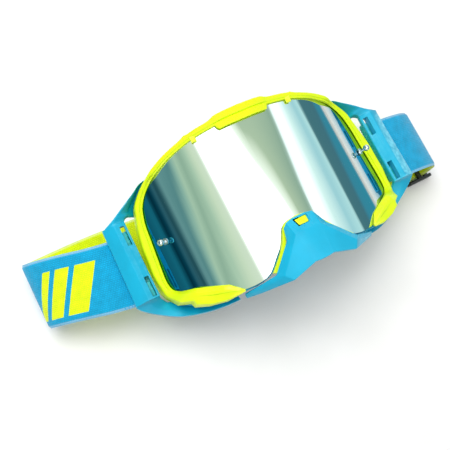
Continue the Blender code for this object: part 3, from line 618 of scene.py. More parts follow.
def foam(name, colour, pore_mm):
    """Foam cut from a block: open pores, their bottoms darkened as painted shade, between paler
    rims.
    """
    made, tree, shader = new_finish(name)
    place = add(tree, "ShaderNodeTexCoord").outputs["Object"]
    pores = add(tree, "ShaderNodeTexVoronoi", {"Vector": place, "Scale": 1000.0 / pore_mm},
                feature="F1").outputs[0]
    pore_depth_and_shade = spread(tree, pores, 0.1, 0.75, 0.0, 1.0)
    tone = mix(tree, spread(tree, grains(tree, 6.0, 3.0), 0.3, 0.7, 0.0, 0.35), colour,
               tuple(min(1.0, c * 1.35) for c in colour))
    # Painted shade: the colour darkens towards the bottom of each pore.
    plug(tree, shader, Base_Color=mix(tree, pore_depth_and_shade, scaled(colour, 0.45), tone), Roughness=0.95,
         Normal=relief(tree, pore_depth_and_shade, pore_mm * 0.4), Sheen_Weight=0.1)
    return made


def fleece():
    """Brushed polyester fleece, bonded to the foam: short fibres with a soft sheen."""
    made, tree, shader = new_finish("brushed_polyester_fleece")
    fibre = grains(tree, 0.7, 5.0, 0.75)
    tone = mix(tree, spread(tree, fibre, 0.35, 0.65, 0.0, 1.0), linear("#0B0B0D"),
               linear("#2B2C30"))
    plug(tree, shader, Base_Color=tone, Roughness=1.0, Sheen_Weight=0.8, Sheen_Roughness=0.6,
         Sheen_Tint=(0.5, 0.52, 0.56, 1.0), Normal=relief(tree, fibre, 0.5))
    return made


def stainless_steel():
    """Stainless steel pin, turned and tumbled: bright with fine rings."""
    made, tree, shader = new_finish("stainless_steel_turned")
    plug(tree, shader, Metallic=1.0, Base_Color=(*linear("#D5D8DA"), 1.0),
         Roughness=spread(tree, grains(tree, 0.6), 0.3, 0.7, 0.14, 0.26))
    return made


def webbing(name, colour, bar_colour=None):
    """Woven elastic webbing: ribs across it, lengthwise threads with painted shade in the hollows
    between them, and a tight selvage.

    The UV map is in metres, along and across the strap. The threads are really about 0.6 mm
    and are drawn twice as coarse, so that they show.
    """
    made, tree, shader = new_finish(name)
    uv = add(tree, "ShaderNodeUVMap", uv_map="strap").outputs[0]
    parts = add(tree, "ShaderNodeSeparateXYZ", {0: uv})
    along, across = parts.outputs[0], parts.outputs[1]
    lane = maths(tree, "DIVIDE", across, sizes().weave_thread)
    shifted = maths(tree, "ADD", maths(tree, "DIVIDE", along, sizes().weave_rib),
                    maths(tree, "MULTIPLY", maths(tree, "FLOOR", lane), 0.5))
    bulge = maths(tree, "ABSOLUTE", maths(tree, "SINE", maths(tree, "MULTIPLY", shifted, math.pi)))
    round_lane = maths(tree, "ABSOLUTE",
                       maths(tree, "SINE", maths(tree, "MULTIPLY", lane, math.pi)))
    height = maths(tree, "SQRT", maths(tree, "MULTIPLY", bulge, round_lane))
    selvage = spread(tree, maths(tree, "ABSOLUTE", across), 0.0205, 0.0212, 0.0, 1.0)
    # Painted shade: the hollows between threads are darker than the thread tops.
    base = mix(tree, height, scaled(colour, 0.74), colour)
    if bar_colour:
        bar = slanted_bars(tree, along, across)
        base = mix(tree, bar, base, mix(tree, height, scaled(bar_colour, 0.8), bar_colour))
    mottle = spread(tree, grains(tree, 5.0, 4.0, 0.6), 0.3, 0.7, 0.86, 1.1)
    lit = add(tree, "ShaderNodeCombineColor", {0: mottle, 1: mottle, 2: mottle}).outputs[0]
    base = mix(tree, 1.0, base, lit, "MULTIPLY")
    pale = mix(tree, 0.35, base, (1.0, 1.0, 1.0))
    plug(tree, shader, Base_Color=mix(tree, maths(tree, "MULTIPLY", selvage, 0.55), base, pale),
         Roughness=0.82, Sheen_Weight=0.25, Sheen_Roughness=0.4,
         Normal=relief(tree, height, 0.18))
    return made


def slanted_bars(tree, along, across):
    """Three slanted bars of falling width near each fold, woven in the second colour."""
    lean = maths(tree, "ADD", along, maths(tree, "MULTIPLY", across, 0.55))
    total = None
    for centre, half in BAR_PLACES:
        bar = maths(tree, "COMPARE", lean, centre * MM, half * MM)
        total = bar if total is None else maths(tree, "MAXIMUM", total, bar)
    inside = maths(tree, "COMPARE", across, BAR_MIDDLE * MM, BAR_HALF_HEIGHT * MM)
    return maths(tree, "MULTIPLY", total, inside)


def matt_board():
    """The table: board painted matt white."""
    made, tree, shader = new_finish("matt_white_board")
    tone = mix(tree, spread(tree, grains(tree, 60.0), 0.3, 0.7, 0.0, 1.0), linear("#F4F4F2"),
               linear("#FAFAF9"))
    plug(tree, shader, Base_Color=tone, Roughness=0.7, Normal=relief(tree, grains(tree, 1.5), 0.01))
    return made


# ---------------------------------------------------------------- pieces that repeat

def repeat_tree(name, shape):
    """Geometry Nodes: repeat a stitch or a rib along a path, with named sizes."""
    tree = bpy.data.node_groups.new(name, "GeometryNodeTree")
    face = tree.interface
    face.new_socket("Geometry", in_out="INPUT", socket_type="NodeSocketGeometry")
    for label, value in (("Spacing", 0.002), ("Length", 0.001), ("Width", 0.0005),
                         ("Height", 0.0005)):
        socket = face.new_socket(label, in_out="INPUT", socket_type="NodeSocketFloat")
        socket.default_value = value
    face.new_socket("Up", in_out="INPUT", socket_type="NodeSocketVector")
    face.new_socket("Finish", in_out="INPUT", socket_type="NodeSocketMaterial")
    face.new_socket("Geometry", in_out="OUTPUT", socket_type="NodeSocketGeometry")
    start = add(tree, "NodeGroupInput").outputs
    path = add(tree, "GeometryNodeMeshToCurve", {0: start["Geometry"]}).outputs[0]
    points = add(tree, "GeometryNodeResampleCurve", {"Curve": path, "Length": start["Spacing"]},
                 mode="LENGTH").outputs[0]
    tangent = add(tree, "GeometryNodeInputTangent").outputs[0]
    turned_x = add(tree, "FunctionNodeAlignRotationToVector", {"Vector": tangent},
                   axis="X").outputs[0]
    turned_z = add(tree, "FunctionNodeAlignRotationToVector",
                   {"Rotation": turned_x, "Vector": start["Up"]}, axis="Z",
                   pivot_axis="X").outputs[0]
    if shape == "stitch":
        solid = add(tree, "GeometryNodeMeshUVSphere", {"Segments": 8, "Rings": 6,
                                                       "Radius": 0.5}).outputs[0]
    else:
        solid = add(tree, "GeometryNodeMeshCylinder", {"Vertices": 12, "Radius": 0.5,
                                                       "Depth": 1.0}).outputs[0]
        solid = add(tree, "GeometryNodeTransform", {"Geometry": solid,
                                                    "Rotation": (math.pi / 2, 0, 0)}).outputs[0]
    size = add(tree, "ShaderNodeCombineXYZ", {0: start["Length"], 1: start["Width"],
                                              2: start["Height"]}).outputs[0]
    placed = add(tree, "GeometryNodeInstanceOnPoints",
                 {"Points": points, "Instance": solid, "Rotation": turned_z,
                  "Scale": size}).outputs[0]
    real = add(tree, "GeometryNodeRealizeInstances", {0: placed}).outputs[0]
    done = add(tree, "GeometryNodeSetMaterial", {"Geometry": real,
                                                 "Material": start["Finish"]}).outputs[0]
    add(tree, "NodeGroupOutput", {0: done})
    return tree


def repeat_along(name, paths, tree, **inputs):
    """Run a repeating tree on paths, which are rows of points, and keep the plain mesh."""
    bm = bmesh.new()
    for path in paths:
        verts = [bm.verts.new(p) for p in path]
        for a, b in zip(verts[:-1], verts[1:]):
            bm.edges.new((a, b))
    mesh = bpy.data.meshes.new(name)
    bm.to_mesh(mesh)
    bm.free()
    obj = new_object(name, mesh)
    modifier = obj.modifiers.new("repeat", "NODES")
    modifier.node_group = tree
    for item in tree.interface.items_tree:
        if item.in_out == "INPUT" and item.name in inputs:
            modifier[item.identifier] = inputs[item.name]
    make_plain(obj)
    soften(obj.data, 50)
    return obj


# ---------------------------------------------------------------- pieces

def skirt_depth(x, y):
    """How far the brow's outer wall hangs below the lens to cover the chassis."""
    if y < 0:
        return 0.05
    return max(0.05, SKIRT_DEPTH * min(1.0, (SKIRT_END_X - x) / SKIRT_TAPER))


def frame_profile(row, lip):
    """Corners of the front frame's section as distance from the inner edge and height."""
    xi, yi, xo, yo, top, overlap = row
    across = Vector((xo - xi, yo - yi))
    width = across.length
    across.normalize()
    under = lens_top(xi) + GAP
    wall = top - under
    ledge = min(1.1, wall * 0.3)
    low = lens_back(xo + across.x * 0.6)
    skirt = low - skirt_depth(abs(xi), yi)
    groove, groove_width = (0.25 if lip else 0.02, 0.33) if yi > 40 else (0.45, 0.8)
    rim = min(1.0, width * 0.18)
    far = rim + groove_width
    lip_low = max(under + 0.3 * wall, top - 4.2)
    ring = [(0, under), (0, lip_low), (-lip, lip_low + 0.4), (-lip, top - ledge - 0.4),
            (0.2 - lip, top - ledge), (rim, top - ledge), (rim + 0.12, top - ledge - groove),
            (far, top - ledge - groove), (far + 0.15, top - 0.3), (far + 0.55, top),
            (width - 0.9, top), (width, top - 1.1)]
    ridge = 0.34 * width
    fold = 0.52 * width
    edge = max(under + 0.3, top - 2.4)
    dip = BRACKET_DIP * max(0.0, 1 - ((abs(xi) - BRACKET_DIP_X) / BRACKET_DIP_HALF) ** 2)
    corner = [(0, under), (0, edge - 0.2), (0, edge), (0.05, edge + 0.1), (0.25, edge + 0.3),
              (ridge - 0.3, top - 0.2), (ridge, top), (ridge + 0.2, top - 0.02),
              (fold - 0.15, top - 0.12), (fold, top - 0.15 - dip),
              (width - 0.9, top - 0.9 - dip * 0.5), (width, top - 1.7)]
    share = min(1.0, max(0.0, (BRACKET_START_Y - yi) / 5.0))
    corners = [(p + (q - p) * share, h + (g - h) * share)
               for (p, h), (q, g) in zip(ring, corner)]
    pocket = overlap + GAP
    pocket_x = xi + across.x * pocket
    corners += [(width + 0.6, skirt), (width + 0.6 - SKIRT_WALL, skirt),
                (width + 0.5 - SKIRT_WALL, low), (pocket, lens_back(pocket_x)),
                (pocket, lens_top(pocket_x) + GAP)]
    return across, corners


def frame_row(row, side):
    bump = 0.7 * math.exp(-((row[0] - SILHOUETTE_BUMP_X) / 1.5) ** 2) if row[1] > 0 else 0.0
    row = list(row)
    row[3] += bump
    beyond = abs(row[0]) - VISOR_HALF_WIDTH
    lip = 0.0
    if row[1] > 0 and beyond < VISOR_CORNER:
        lip = VISOR_REACH
        if beyond > 0:
            lip *= math.sqrt(1 - (beyond / VISOR_CORNER) ** 2)
    across, corners = frame_profile(row, lip)
    section = [point(side * (row[0] + across.x * d), row[1] + across.y * d, z)
               for d, z in corners]
    return rounded(section, 0.5)


def tip_row(side):
    """The blunt end of the lower corner, with as many points as the other sections."""
    x, y, top = FRAME_TIP
    under = lens_top(x) + GAP + 0.2
    inner, outer = (x + 0.3, y + 0.9), (x + 0.9, y - 0.6)
    spots = [(inner, under)] + [(inner, under + (top - 0.6 - under) * k / 4) for k in (1, 2, 3)]
    spots += [((x + 0.2, y + 0.8), top - 0.2)] + [((x, y + 0.4), top)] * 3
    spots += [((x, y + 0.1), top), ((x, y), top), ((x, y - 0.2), top), (outer, top - 0.6),
              (outer, under + 0.2), (outer, under + 0.1), (outer, under),
              ((x + 0.3, y), under), ((x + 0.3, y), under + 0.1)]
    return rounded([point(side * p[0], p[1], z) for p, z in spots], 0.3)


def frame_rows():
    """Stations of the front frame from the middle of the brow to the lower corner."""
    steps = 6
    times = {round(i / steps, 4) for i in range(FIRST_FLAT_STATION * steps + 1)}
    times |= {round(2.0 + i / 32, 4) for i in range(33)}
    rows = [curve_at(FRAME_STATIONS[:FIRST_FLAT_STATION + 1], t) for t in sorted(times)]
    flat = FRAME_STATIONS[FIRST_FLAT_STATION:]
    for a, b in zip(flat[:-1], flat[1:]):
        for share in (0.5, 1.0):
            rows.append([p + (q - p) * share for p, q in zip(a, b)])
    return rows


def build_front_frame():
    rows = frame_rows()
    right = [frame_row(row, 1) for row in rows] + [tip_row(1)]
    left = [frame_row(row, -1) for row in rows[1:]] + [tip_row(-1)]
    shell = skin("front_frame_shell", list(reversed(left)) + right)
    hooks = []
    for side in (-1, 1):
        hooks.append(skin("hook", [
            rounded([point(side * (HOOK_X + step), y, HOOK_MIDDLE_Z + (z - HOOK_MIDDLE_Z) * grow)
                     for y, z in HOOK_SECTION], 0.5)
            for step, grow in HOOK_STEPS]))
    join_shells(shell, hooks)
    place_piece(shell, yellow_tpu(), "goggles", "yellow_tpu", "front_frame")


def chassis_outlines(steps):
    half = smooth(CHASSIS_STATIONS, steps)
    front = mirrored_ring([(row[0], row[1]) for row in half])
    rear = mirrored_ring([(row[2], row[3]) for row in half])
    return front, rear


def build_chassis(finish):
    front, rear = chassis_outlines(6)
    outlines = (front, rear, inset(front, CHASSIS_WALL), inset(rear, CHASSIS_WALL),
                inset(front, FRONT_FLANGE_WIDTH), inset(rear, FOAM_FLANGE_WIDTH))
    rows = []
    for f, r, fw, rw, fl, rl in zip(*outlines):
        section = [point(*fl, chassis_top(fl[0])), point(*f, chassis_top(f[0])),
                   point(*r, chassis_seat(r[0])), point(*rl, chassis_seat(rl[0])),
                   point(*rl, chassis_seat(rl[0]) + CHASSIS_FLANGE),
                   point(*rw, chassis_seat(rw[0]) + CHASSIS_FLANGE),
                   point(*fw, chassis_top(fw[0]) - CHASSIS_FLANGE),
                   point(*fl, chassis_top(fl[0]) - CHASSIS_FLANGE)]
        rows.append(rounded(section, 0.5))
    shell = skin("chassis_shell", rows, ring=True)
    vents = []
    half_width, half_height = BROW_VENT_HALF
    for x, height in BROW_VENTS:
        vents.append(box("vent", (x - half_width, BROW_VENT_Y[0], height - half_height),
                         (x + half_width, BROW_VENT_Y[1], height + half_height), VENT_CORNER))
    for side in (-1, 1):
        for spans in (SIDE_VENT, CHEEK_VENT):
            vents.append(side_box("vent", side, spans, VENT_CORNER))
    combine(shell, vents, "DIFFERENCE")
    place_piece(shell, finish, "goggles", "blue_nylon", "rear_frame")


def outrigger_row(row, side):
    ox, oy, oz, rx, ry, rz, ix, iy, iz, fx, fy, fz, outer_depth, foot_depth = row
    corners = [(ox, oy, oz), (rx, ry, rz), (ix, iy, iz), (fx, fy, fz), (fx, fy, fz - foot_depth),
               (ox, oy, oz - outer_depth)]
    return rounded([point(side * x, y, z) for x, y, z in corners], 0.35)


def build_outrigger(side, name, finish):
    """One arm with its strap panel, from the brow to the lower corner."""
    rows = []
    for i in range(len(OUTRIGGER_ROWS) - 1):
        steps = 1 if i == PANEL_ROW else 6
        rows.extend(curve_at(OUTRIGGER_ROWS, i + k / steps) for k in range(steps))
    rows.append(list(OUTRIGGER_ROWS[-1]))
    arm = skin(name, [outrigger_row(row, side) for row in rows])
    half = SLOT_LENGTH / 2
    slots = [side_box("slot", side, (SLOT_X, (y - half, y + half), SLOT_Z), 0.5)
             for y in SLOT_CENTRES_Y]
    combine(arm, slots, "DIFFERENCE")
    place_piece(arm, finish, "goggles", "blue_nylon")


def lens_outline(steps):
    half = []
    for xi, yi, xo, yo, _top, overlap in FRAME_STATIONS:
        along = Vector((xo - xi, yo - yi)).normalized()
        half.append((xi + along.x * overlap, yi + along.y * overlap))
    half.extend(LENS_LOWER_EDGE)
    half[0] = (0.0, half[0][1])
    return mirrored_ring([tuple(p) for p in smooth(half, steps)])


def post_line(side):
    """Foot of a tear-off post on the lens, and the way it stands."""
    slope = lens_top(POST_BASE_X - 0.5) - lens_top(POST_BASE_X + 0.5)
    foot = point(side * POST_BASE_X, POST_Y, lens_top(POST_BASE_X))
    return foot, Vector((side * slope, 0, 1)).normalized()


def build_lens():
    rows = []
    columns = 180
    for i in range(columns + 1):
        x = -90.0 + 180.0 * i / columns
        rows.append([point(x, -62, lens_top(x)), point(x, 62, lens_top(x)),
                     point(x, 62, lens_back(x)), point(x, -62, lens_back(x))])
    lens = skin("lens_sheet", rows)
    outline = lens_outline(2)
    trim = skin("trim", [[point(x, y, z) for x, y in outline] for z in (20, 90)])
    combine(lens, [trim], "INTERSECT")
    holes = []
    for side in (-1, 1):
        foot, along = post_line(side)
        holes.append(turned("hole", POST_HOLE, foot, along, 32))
    combine(lens, holes, "DIFFERENCE")
    place_piece(lens, mirror_polycarbonate(), "goggles", "mirror_lens", "lens")


def build_posts(finish, washer_finish):
    """Headed pins: a collar on the lens, a waist and a ball head with a flat top."""
    profile = list(POST_PIN)
    for degree in range(-60, 75, 12):
        angle = math.radians(degree)
        profile.append((POST_BALL * math.cos(angle), POST_REACH + POST_BALL * math.sin(angle)))
    for side, name in SIDES:
        foot, along = post_line(side)
        pin = turned("tear_off_pin_" + name, profile, foot, along)
        place_piece(pin, finish, "goggles", "post_steel", "tear_off_post_" + name)
        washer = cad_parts["post_washer_" + name]
        washer.data.materials.clear()
        washer.data.materials.append(washer_finish)


def guard_skin(name, faces, thickness, bevel, cutter, operation="DIFFERENCE"):
    bm = bmesh.new()
    verts = {}
    for side in (1, -1):
        for corner in sorted({c for face in faces for c in face}):
            x, y, z = GUARD[corner]
            if x < 0.01 and side == -1:
                verts[corner, side] = verts[corner, 1]
            else:
                verts[corner, side] = bm.verts.new(point(side * x, y, z))
    for side in (1, -1):
        for face in faces:
            ring = [verts[corner, side] for corner in face]
            bm.faces.new(ring if side == 1 else reversed(ring))
    bmesh.ops.recalc_face_normals(bm, faces=bm.faces)
    if sum(face.normal.z for face in bm.faces) < 0:
        bmesh.ops.reverse_faces(bm, faces=bm.faces)
    mesh = bpy.data.meshes.new(name)
    bm.to_mesh(mesh)
    bm.free()
    obj = new_object(name, mesh)
    wall = obj.modifiers.new("wall", "SOLIDIFY")
    wall.thickness = thickness * MM
    wall.offset = -1.0
    wall.use_even_offset = False
    make_plain(obj)
    combine(obj, [cutter], operation)
    edges = obj.modifiers.new("edges", "BEVEL")
    edges.width = bevel * MM
    edges.segments = 3
    edges.limit_method = "ANGLE"
    edges.angle_limit = math.radians(8)
    make_plain(obj)
    soften(obj.data, 30)
    return obj


def build_nose_guard(finish, accent):
    def prism(corners):
        return skin("prism", [[point(x, y, z) for x, y in corners] for z in (80, 100)])

    guard = guard_skin("nose_guard_shell", GUARD_FACES, 1.8, sizes().guard_edge / MM,
                       prism(BADGE_WINDOW))
    place_piece(guard, finish, "guard", "blue_nylon", "nose_guard")
    badge = guard_skin("nose_guard_insert", GUARD_FACES[:1], 1.6, 0.25, prism(BADGE_OUTLINE),
                       "INTERSECT")
    place_piece(badge, accent, "guard", "yellow_tpu", "nose_guard_badge")
    half = smooth(LINER_STATIONS, 6)
    whole = half + [(-x, y, top) for x, y, top in reversed(half[:-1])]
    rows = []
    for x, y, top in whole:
        low = lens_top(x) + 2 * GAP
        section = [point(x, y, low), point(x, y, top), point(x * 0.9, y - LINER_WALL, top),
                   point(x * 0.9, y - LINER_WALL, low)]
        rows.append(rounded(section, 0.4, 3))
    liner = skin("nose_liner_rim", rows)
    place_piece(liner, accent, "guard", "yellow_tpu", "nose_liner")


# ---------------------------------------------------------------- soft pieces

def copy_of_node(name, node):
    """A welded copy of a model node's mesh."""
    bm = bmesh.new()
    bm.from_mesh(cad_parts[node].data)
    bmesh.ops.remove_doubles(bm, verts=bm.verts, dist=1e-6)
    mesh = bpy.data.meshes.new(name)
    bm.to_mesh(mesh)
    bm.free()
    return new_object(name, mesh)


def remesh(obj, voxel_mm, smoothing):
    grid = obj.modifiers.new("grid", "REMESH")
    grid.mode = "VOXEL"
    grid.voxel_size = voxel_mm * MM
    if smoothing:
        relax = obj.modifiers.new("relax", "SMOOTH")
        relax.factor = 0.5
        relax.iterations = smoothing
    return make_plain(obj)


def roughen(obj, size_mm, height_mm):
    """Move each point a little along its normal, as cut foam is never quite even."""
    for vertex in obj.data.vertices:
        lump = noise.fractal(vertex.co / (size_mm * MM), 1.0, 2.0, 3)
        vertex.co += vertex.normal * lump * height_mm * MM
    obj.data.shade_smooth()


def plump(obj, cap_mm):
    """Swell a foam ring a little by a short cloth simulation, and cap how far it moves."""
    rest = [v.co.copy() for v in obj.data.vertices]
    cloth = obj.modifiers.new("plump", "CLOTH")
    cloth.settings.use_pressure = True
    cloth.settings.uniform_pressure_force = 4.0
    cloth.settings.effector_weights.gravity = 0.0
    cloth.settings.quality = 4
    cloth.collision_settings.use_collision = False
    scene = bpy.context.scene
    for step in range(1, 21):
        scene.frame_set(step)
    make_plain(obj)
    scene.frame_set(1)
    for vertex, start in zip(obj.data.vertices, rest):
        move = vertex.co - start
        if move.length > cap_mm * MM:
            vertex.co = start + move.normalized() * cap_mm * MM


def build_soft(name, node, finish, slot, voxel_mm, lumps_mm, height_mm, swell=0.0):
    pad = copy_of_node(name, node)
    remesh(pad, voxel_mm, 3)
    if swell:
        plump(pad, swell)
        finer = pad.modifiers.new("finer", "SUBSURF")
        finer.levels = 1
        finer.render_levels = 1
        make_plain(pad)
    roughen(pad, lumps_mm, height_mm)
    place_piece(pad, finish, "goggles", slot, node)


# ---------------------------------------------------------------- strap

def strap_section(row, along):
    """Points round a strap section with the share across it and which side they are on."""
    x, z, y, _length = row
    normal = Vector((-along[1], along[0]))
    half = STRAP_WIDTH / 2
    made = []
    for side in (1, -1):
        for i in range(STRAP_LANES + 1):
            v = (i / STRAP_LANES - 0.5) * 2 * side
            edge = min(1.0, (1 - abs(v)) * half / STRAP_EDGE_ROUND)
            lift = STRAP_THICKNESS / 2 * math.sqrt(1 - (1 - edge) ** 2) * side
            lift *= 0.985 if abs(v) < 0.93 else 1.0
            made.append((x + normal.x * lift, y + v * half, z + normal.y * lift, v * half, side))
    return made


def build_ribbon(name, route, start_length, outside, inside, node):
    """A strap of even width along its route, with its UV map in metres."""
    rows = even_rows(route, 1.0)
    bm = bmesh.new()
    layer = bm.loops.layers.uv.new("strap")
    rings = []
    for i, row in enumerate(rows):
        before, after = rows[max(i - 1, 0)], rows[min(i + 1, len(rows) - 1)]
        along = Vector((after[0] - before[0], after[1] - before[1])).normalized()
        section = strap_section(row, along)
        wave = 0.12 * math.sin(row[3] / 9.0) * math.sin(math.pi * i / (len(rows) - 1))
        rings.append([(bm.verts.new(point(p[0], p[1], p[2] + wave * (abs(p[3]) > 18))),
                       start_length + row[3], p[3], p[4]) for p in section])
    for first, second in zip(rings[:-1], rings[1:]):
        count = len(first)
        for i in range(count):
            j = (i + 1) % count
            corners = (first[i], first[j], second[j], second[i])
            face = bm.faces.new([c[0] for c in corners])
            face.material_index = 0 if first[i][3] < 0 else 1
            for loop, corner in zip(face.loops, corners):
                loop[layer].uv = (corner[1] * MM, corner[2] * MM)
    for ring in (rings[0], rings[-1]):
        bm.faces.new([c[0] for c in ring])
    strap = from_bmesh(name, bm, 60)
    strap.data.materials.append(outside)
    strap.data.materials.append(inside)
    place_piece(strap, None, "goggles", "strap_webbing", node)
    return start_length + rows[-1][3]


def build_strap():
    outside = webbing("polyester_webbing_woven_blue", colours().webbing, colours().bars)
    inside = webbing("polyester_webbing_woven_yellow", colours().lining)
    length = build_ribbon("strap_band_long", STRAP_LONG_ROUTE, 0.0, outside, inside, "strap_long")
    build_ribbon("strap_band_short", STRAP_SHORT_ROUTE, length, outside, inside, "strap_short")
    thread = webbing_thread()
    tree = repeat_tree("stitch_rows", "stitch")
    for side, name in SIDES:
        seat, fall = STITCH_SEATS[side]
        paths = []
        for x in STITCH_ROWS_X:
            z = seat - (x - 107.0) * fall
            paths.append([point(side * x, STITCH_MIDDLE_Y + y, z + STITCH_LIFT)
                          for y in (-STITCH_HALF_ROW, 0.0, STITCH_HALF_ROW)])
        rows = repeat_along("strap_stitches_" + name, paths, tree, Up=UP, Finish=thread,
                            Spacing=0.0031, Length=0.0024, Width=0.0006, Height=0.0005)
        place_piece(rows, None, "goggles", "strap_webbing")


def webbing_thread():
    """Bonded polyester sewing thread, twisted, in the strap's blue."""
    made, tree, shader = new_finish("bonded_polyester_thread")
    twist = grains(tree, 0.5, 2.0)
    tone = mix(tree, spread(tree, twist, 0.3, 0.7, 0, 1), linear("#0494BE"), linear("#2FBFE6"))
    plug(tree, shader, Base_Color=tone, Roughness=0.6, Sheen_Weight=0.2,
         Normal=relief(tree, twist, 0.05))
    return made


def build_clips():
    finish = teal_acetal()
    tree = repeat_tree("grip_ribs", "rib")
    half = SLOT_LENGTH / 2
    lug_x = (SLOT_X[0] + GAP, SLOT_X[1] - GAP)
    for side, name in SIDES:
        plate = side_box("strap_clip_plate_" + name, side, CLIP_PLATE, 0.9)
        lugs = [side_box("lug", side, (lug_x, (y - half + GAP, y + half - LUG_END_ROOM), LUG_Z),
                         0.4) for y in SLOT_CENTRES_Y]
        combine(plate, lugs, "UNION")
        place_piece(plate, finish, "goggles", "teal_acetal", "strap_clip_" + name)
        path = [[point(side * RIB_LINE_X, y, RIB_LINE_Z) for y in RIB_LINE_Y]]
        ribs = repeat_along("strap_clip_ribs_" + name, path, tree, Up=UP, Finish=finish,
                            Spacing=0.002, Length=0.0009, Width=0.0006, Height=0.0026)
        place_piece(ribs, None, "goggles", "teal_acetal")


def build_slider():
    low_x, high_x = SLIDER_X
    half = STRAP_WIDTH / 2 + SLIDER_ROOM
    rail = SLIDER_RAIL
    strap_low = SLIDER_STRAP_Z - STRAP_THICKNESS / 2 - GAP
    strap_high = SLIDER_STRAP_Z + STRAP_THICKNESS / 2 + GAP
    top = strap_high + SLIDER_COVER
    body = box("slider_body", (low_x, SLIDER_Y - half - rail, 0),
               (high_x, SLIDER_Y - half, top), 0.8)
    joined = [box("rail", (low_x, SLIDER_Y + half, 0), (high_x, SLIDER_Y + half + rail, top), 0.8)]
    ends = (SLIDER_Y - half - rail / 2, SLIDER_Y + half + rail / 2)
    for x in (low_x, high_x - SLIDER_BAR):
        joined.append(box("end_bar", (x, ends[0], 0), (x + SLIDER_BAR, ends[1], strap_low), 0.5))
    middle = (low_x + high_x) / 2
    joined.append(box("middle_bar", (middle - SLIDER_BAR / 2, ends[0], strap_high),
                      (middle + SLIDER_BAR / 2, ends[1], top), 0.5))
    combine(body, joined, "UNION")
    place_piece(body, black_acetal(), "slider", "black_acetal", "strap_slider")


# ---------------------------------------------------------------- studio

# Bands round the lens: angle in degrees, colour and brightness.
LIGHT_BANDS = (
    (-180.0, "#DDE3E2", 0.9), (-120.0, "#9FC0C4", 0.9), (-90.0, "#5C8F98", 0.8),
    (-78.0, "#86B3B4", 0.95), (-73.0, "#2E626C", 0.6), (-68.0, "#5E9298", 0.85),
    (-64.0, "#2F6871", 0.7), (-59.0, "#6E9FA0", 0.95), (-53.0, "#5F9496", 0.9),
    (-47.0, "#8DB5A8", 1.05), (-41.0, "#A9C6AE", 1.1), (-34.0, "#95B59F", 1.05),
    (-27.0, "#A8C4AC", 1.15), (-19.0, "#C6D6BC", 1.2), (-13.0, "#CFDCC8", 1.2),
    (-11.0, "#FFFFFF", 2.2), (17.4, "#FFFFFF", 2.2), (18.6, "#F0F7EC", 1.3),
    (22.0, "#DCE8D4", 1.2), (23.6, "#B4C8AC", 1.1), (32.2, "#93B2A0", 1.0),
    (33.2, "#E6F4F2", 1.4), (38.0, "#FFFFFF", 1.5), (45.0, "#CFEAE8", 1.25),
    (54.0, "#9DCDD6", 1.15), (61.0, "#B4DEE0", 1.15), (63.4, "#4C7D87", 0.95),
    (76.0, "#487A88", 0.95), (82.0, "#3C8CA4", 1.0), (104.0, "#2F93AC", 1.0),
    (130.0, "#7FA3AA", 0.9), (180.0, "#DDE3E2", 0.9),
)
# How much a band leans at each angle, in degrees for each degree of tilt from BAND_TILT.
BAND_LEANS = ((-180.0, 0.0), (-60.0, 0.0), (-44.0, -1.5), (-30.0, -0.8), (-14.0, 0.0),
              (0.0, 0.0), (18.0, 1.1), (24.0, 0.2), (33.0, -0.78), (63.0, -0.33),
              (80.0, -1.2), (110.0, 0.0))
BAND_TILT = 9.0
LEAN_RANGE = 4.0
BRIGHTEST = 2.5
HAZE_STRETCH = (9.0, 2.2, 9.0)
HAZE_WANDER = 5.0
CALM_MIDDLE = 14.0
CALM_EDGES = (24, 40)
FILL_SHARE = 0.12
LIGHT_TARGET = (0, 0, 30)


def value_ramp(tree, share, stops):
    """A ColorRamp through stops of place and colour."""
    ramp = add(tree, "ShaderNodeValToRGB", {0: share})
    elements = ramp.color_ramp.elements
    elements[0].position, elements[0].color = stops[0]
    elements[1].position, elements[1].color = stops[-1]
    for place, colour in stops[1:-1]:
        elements.new(place).color = colour
    return ramp.outputs[0]


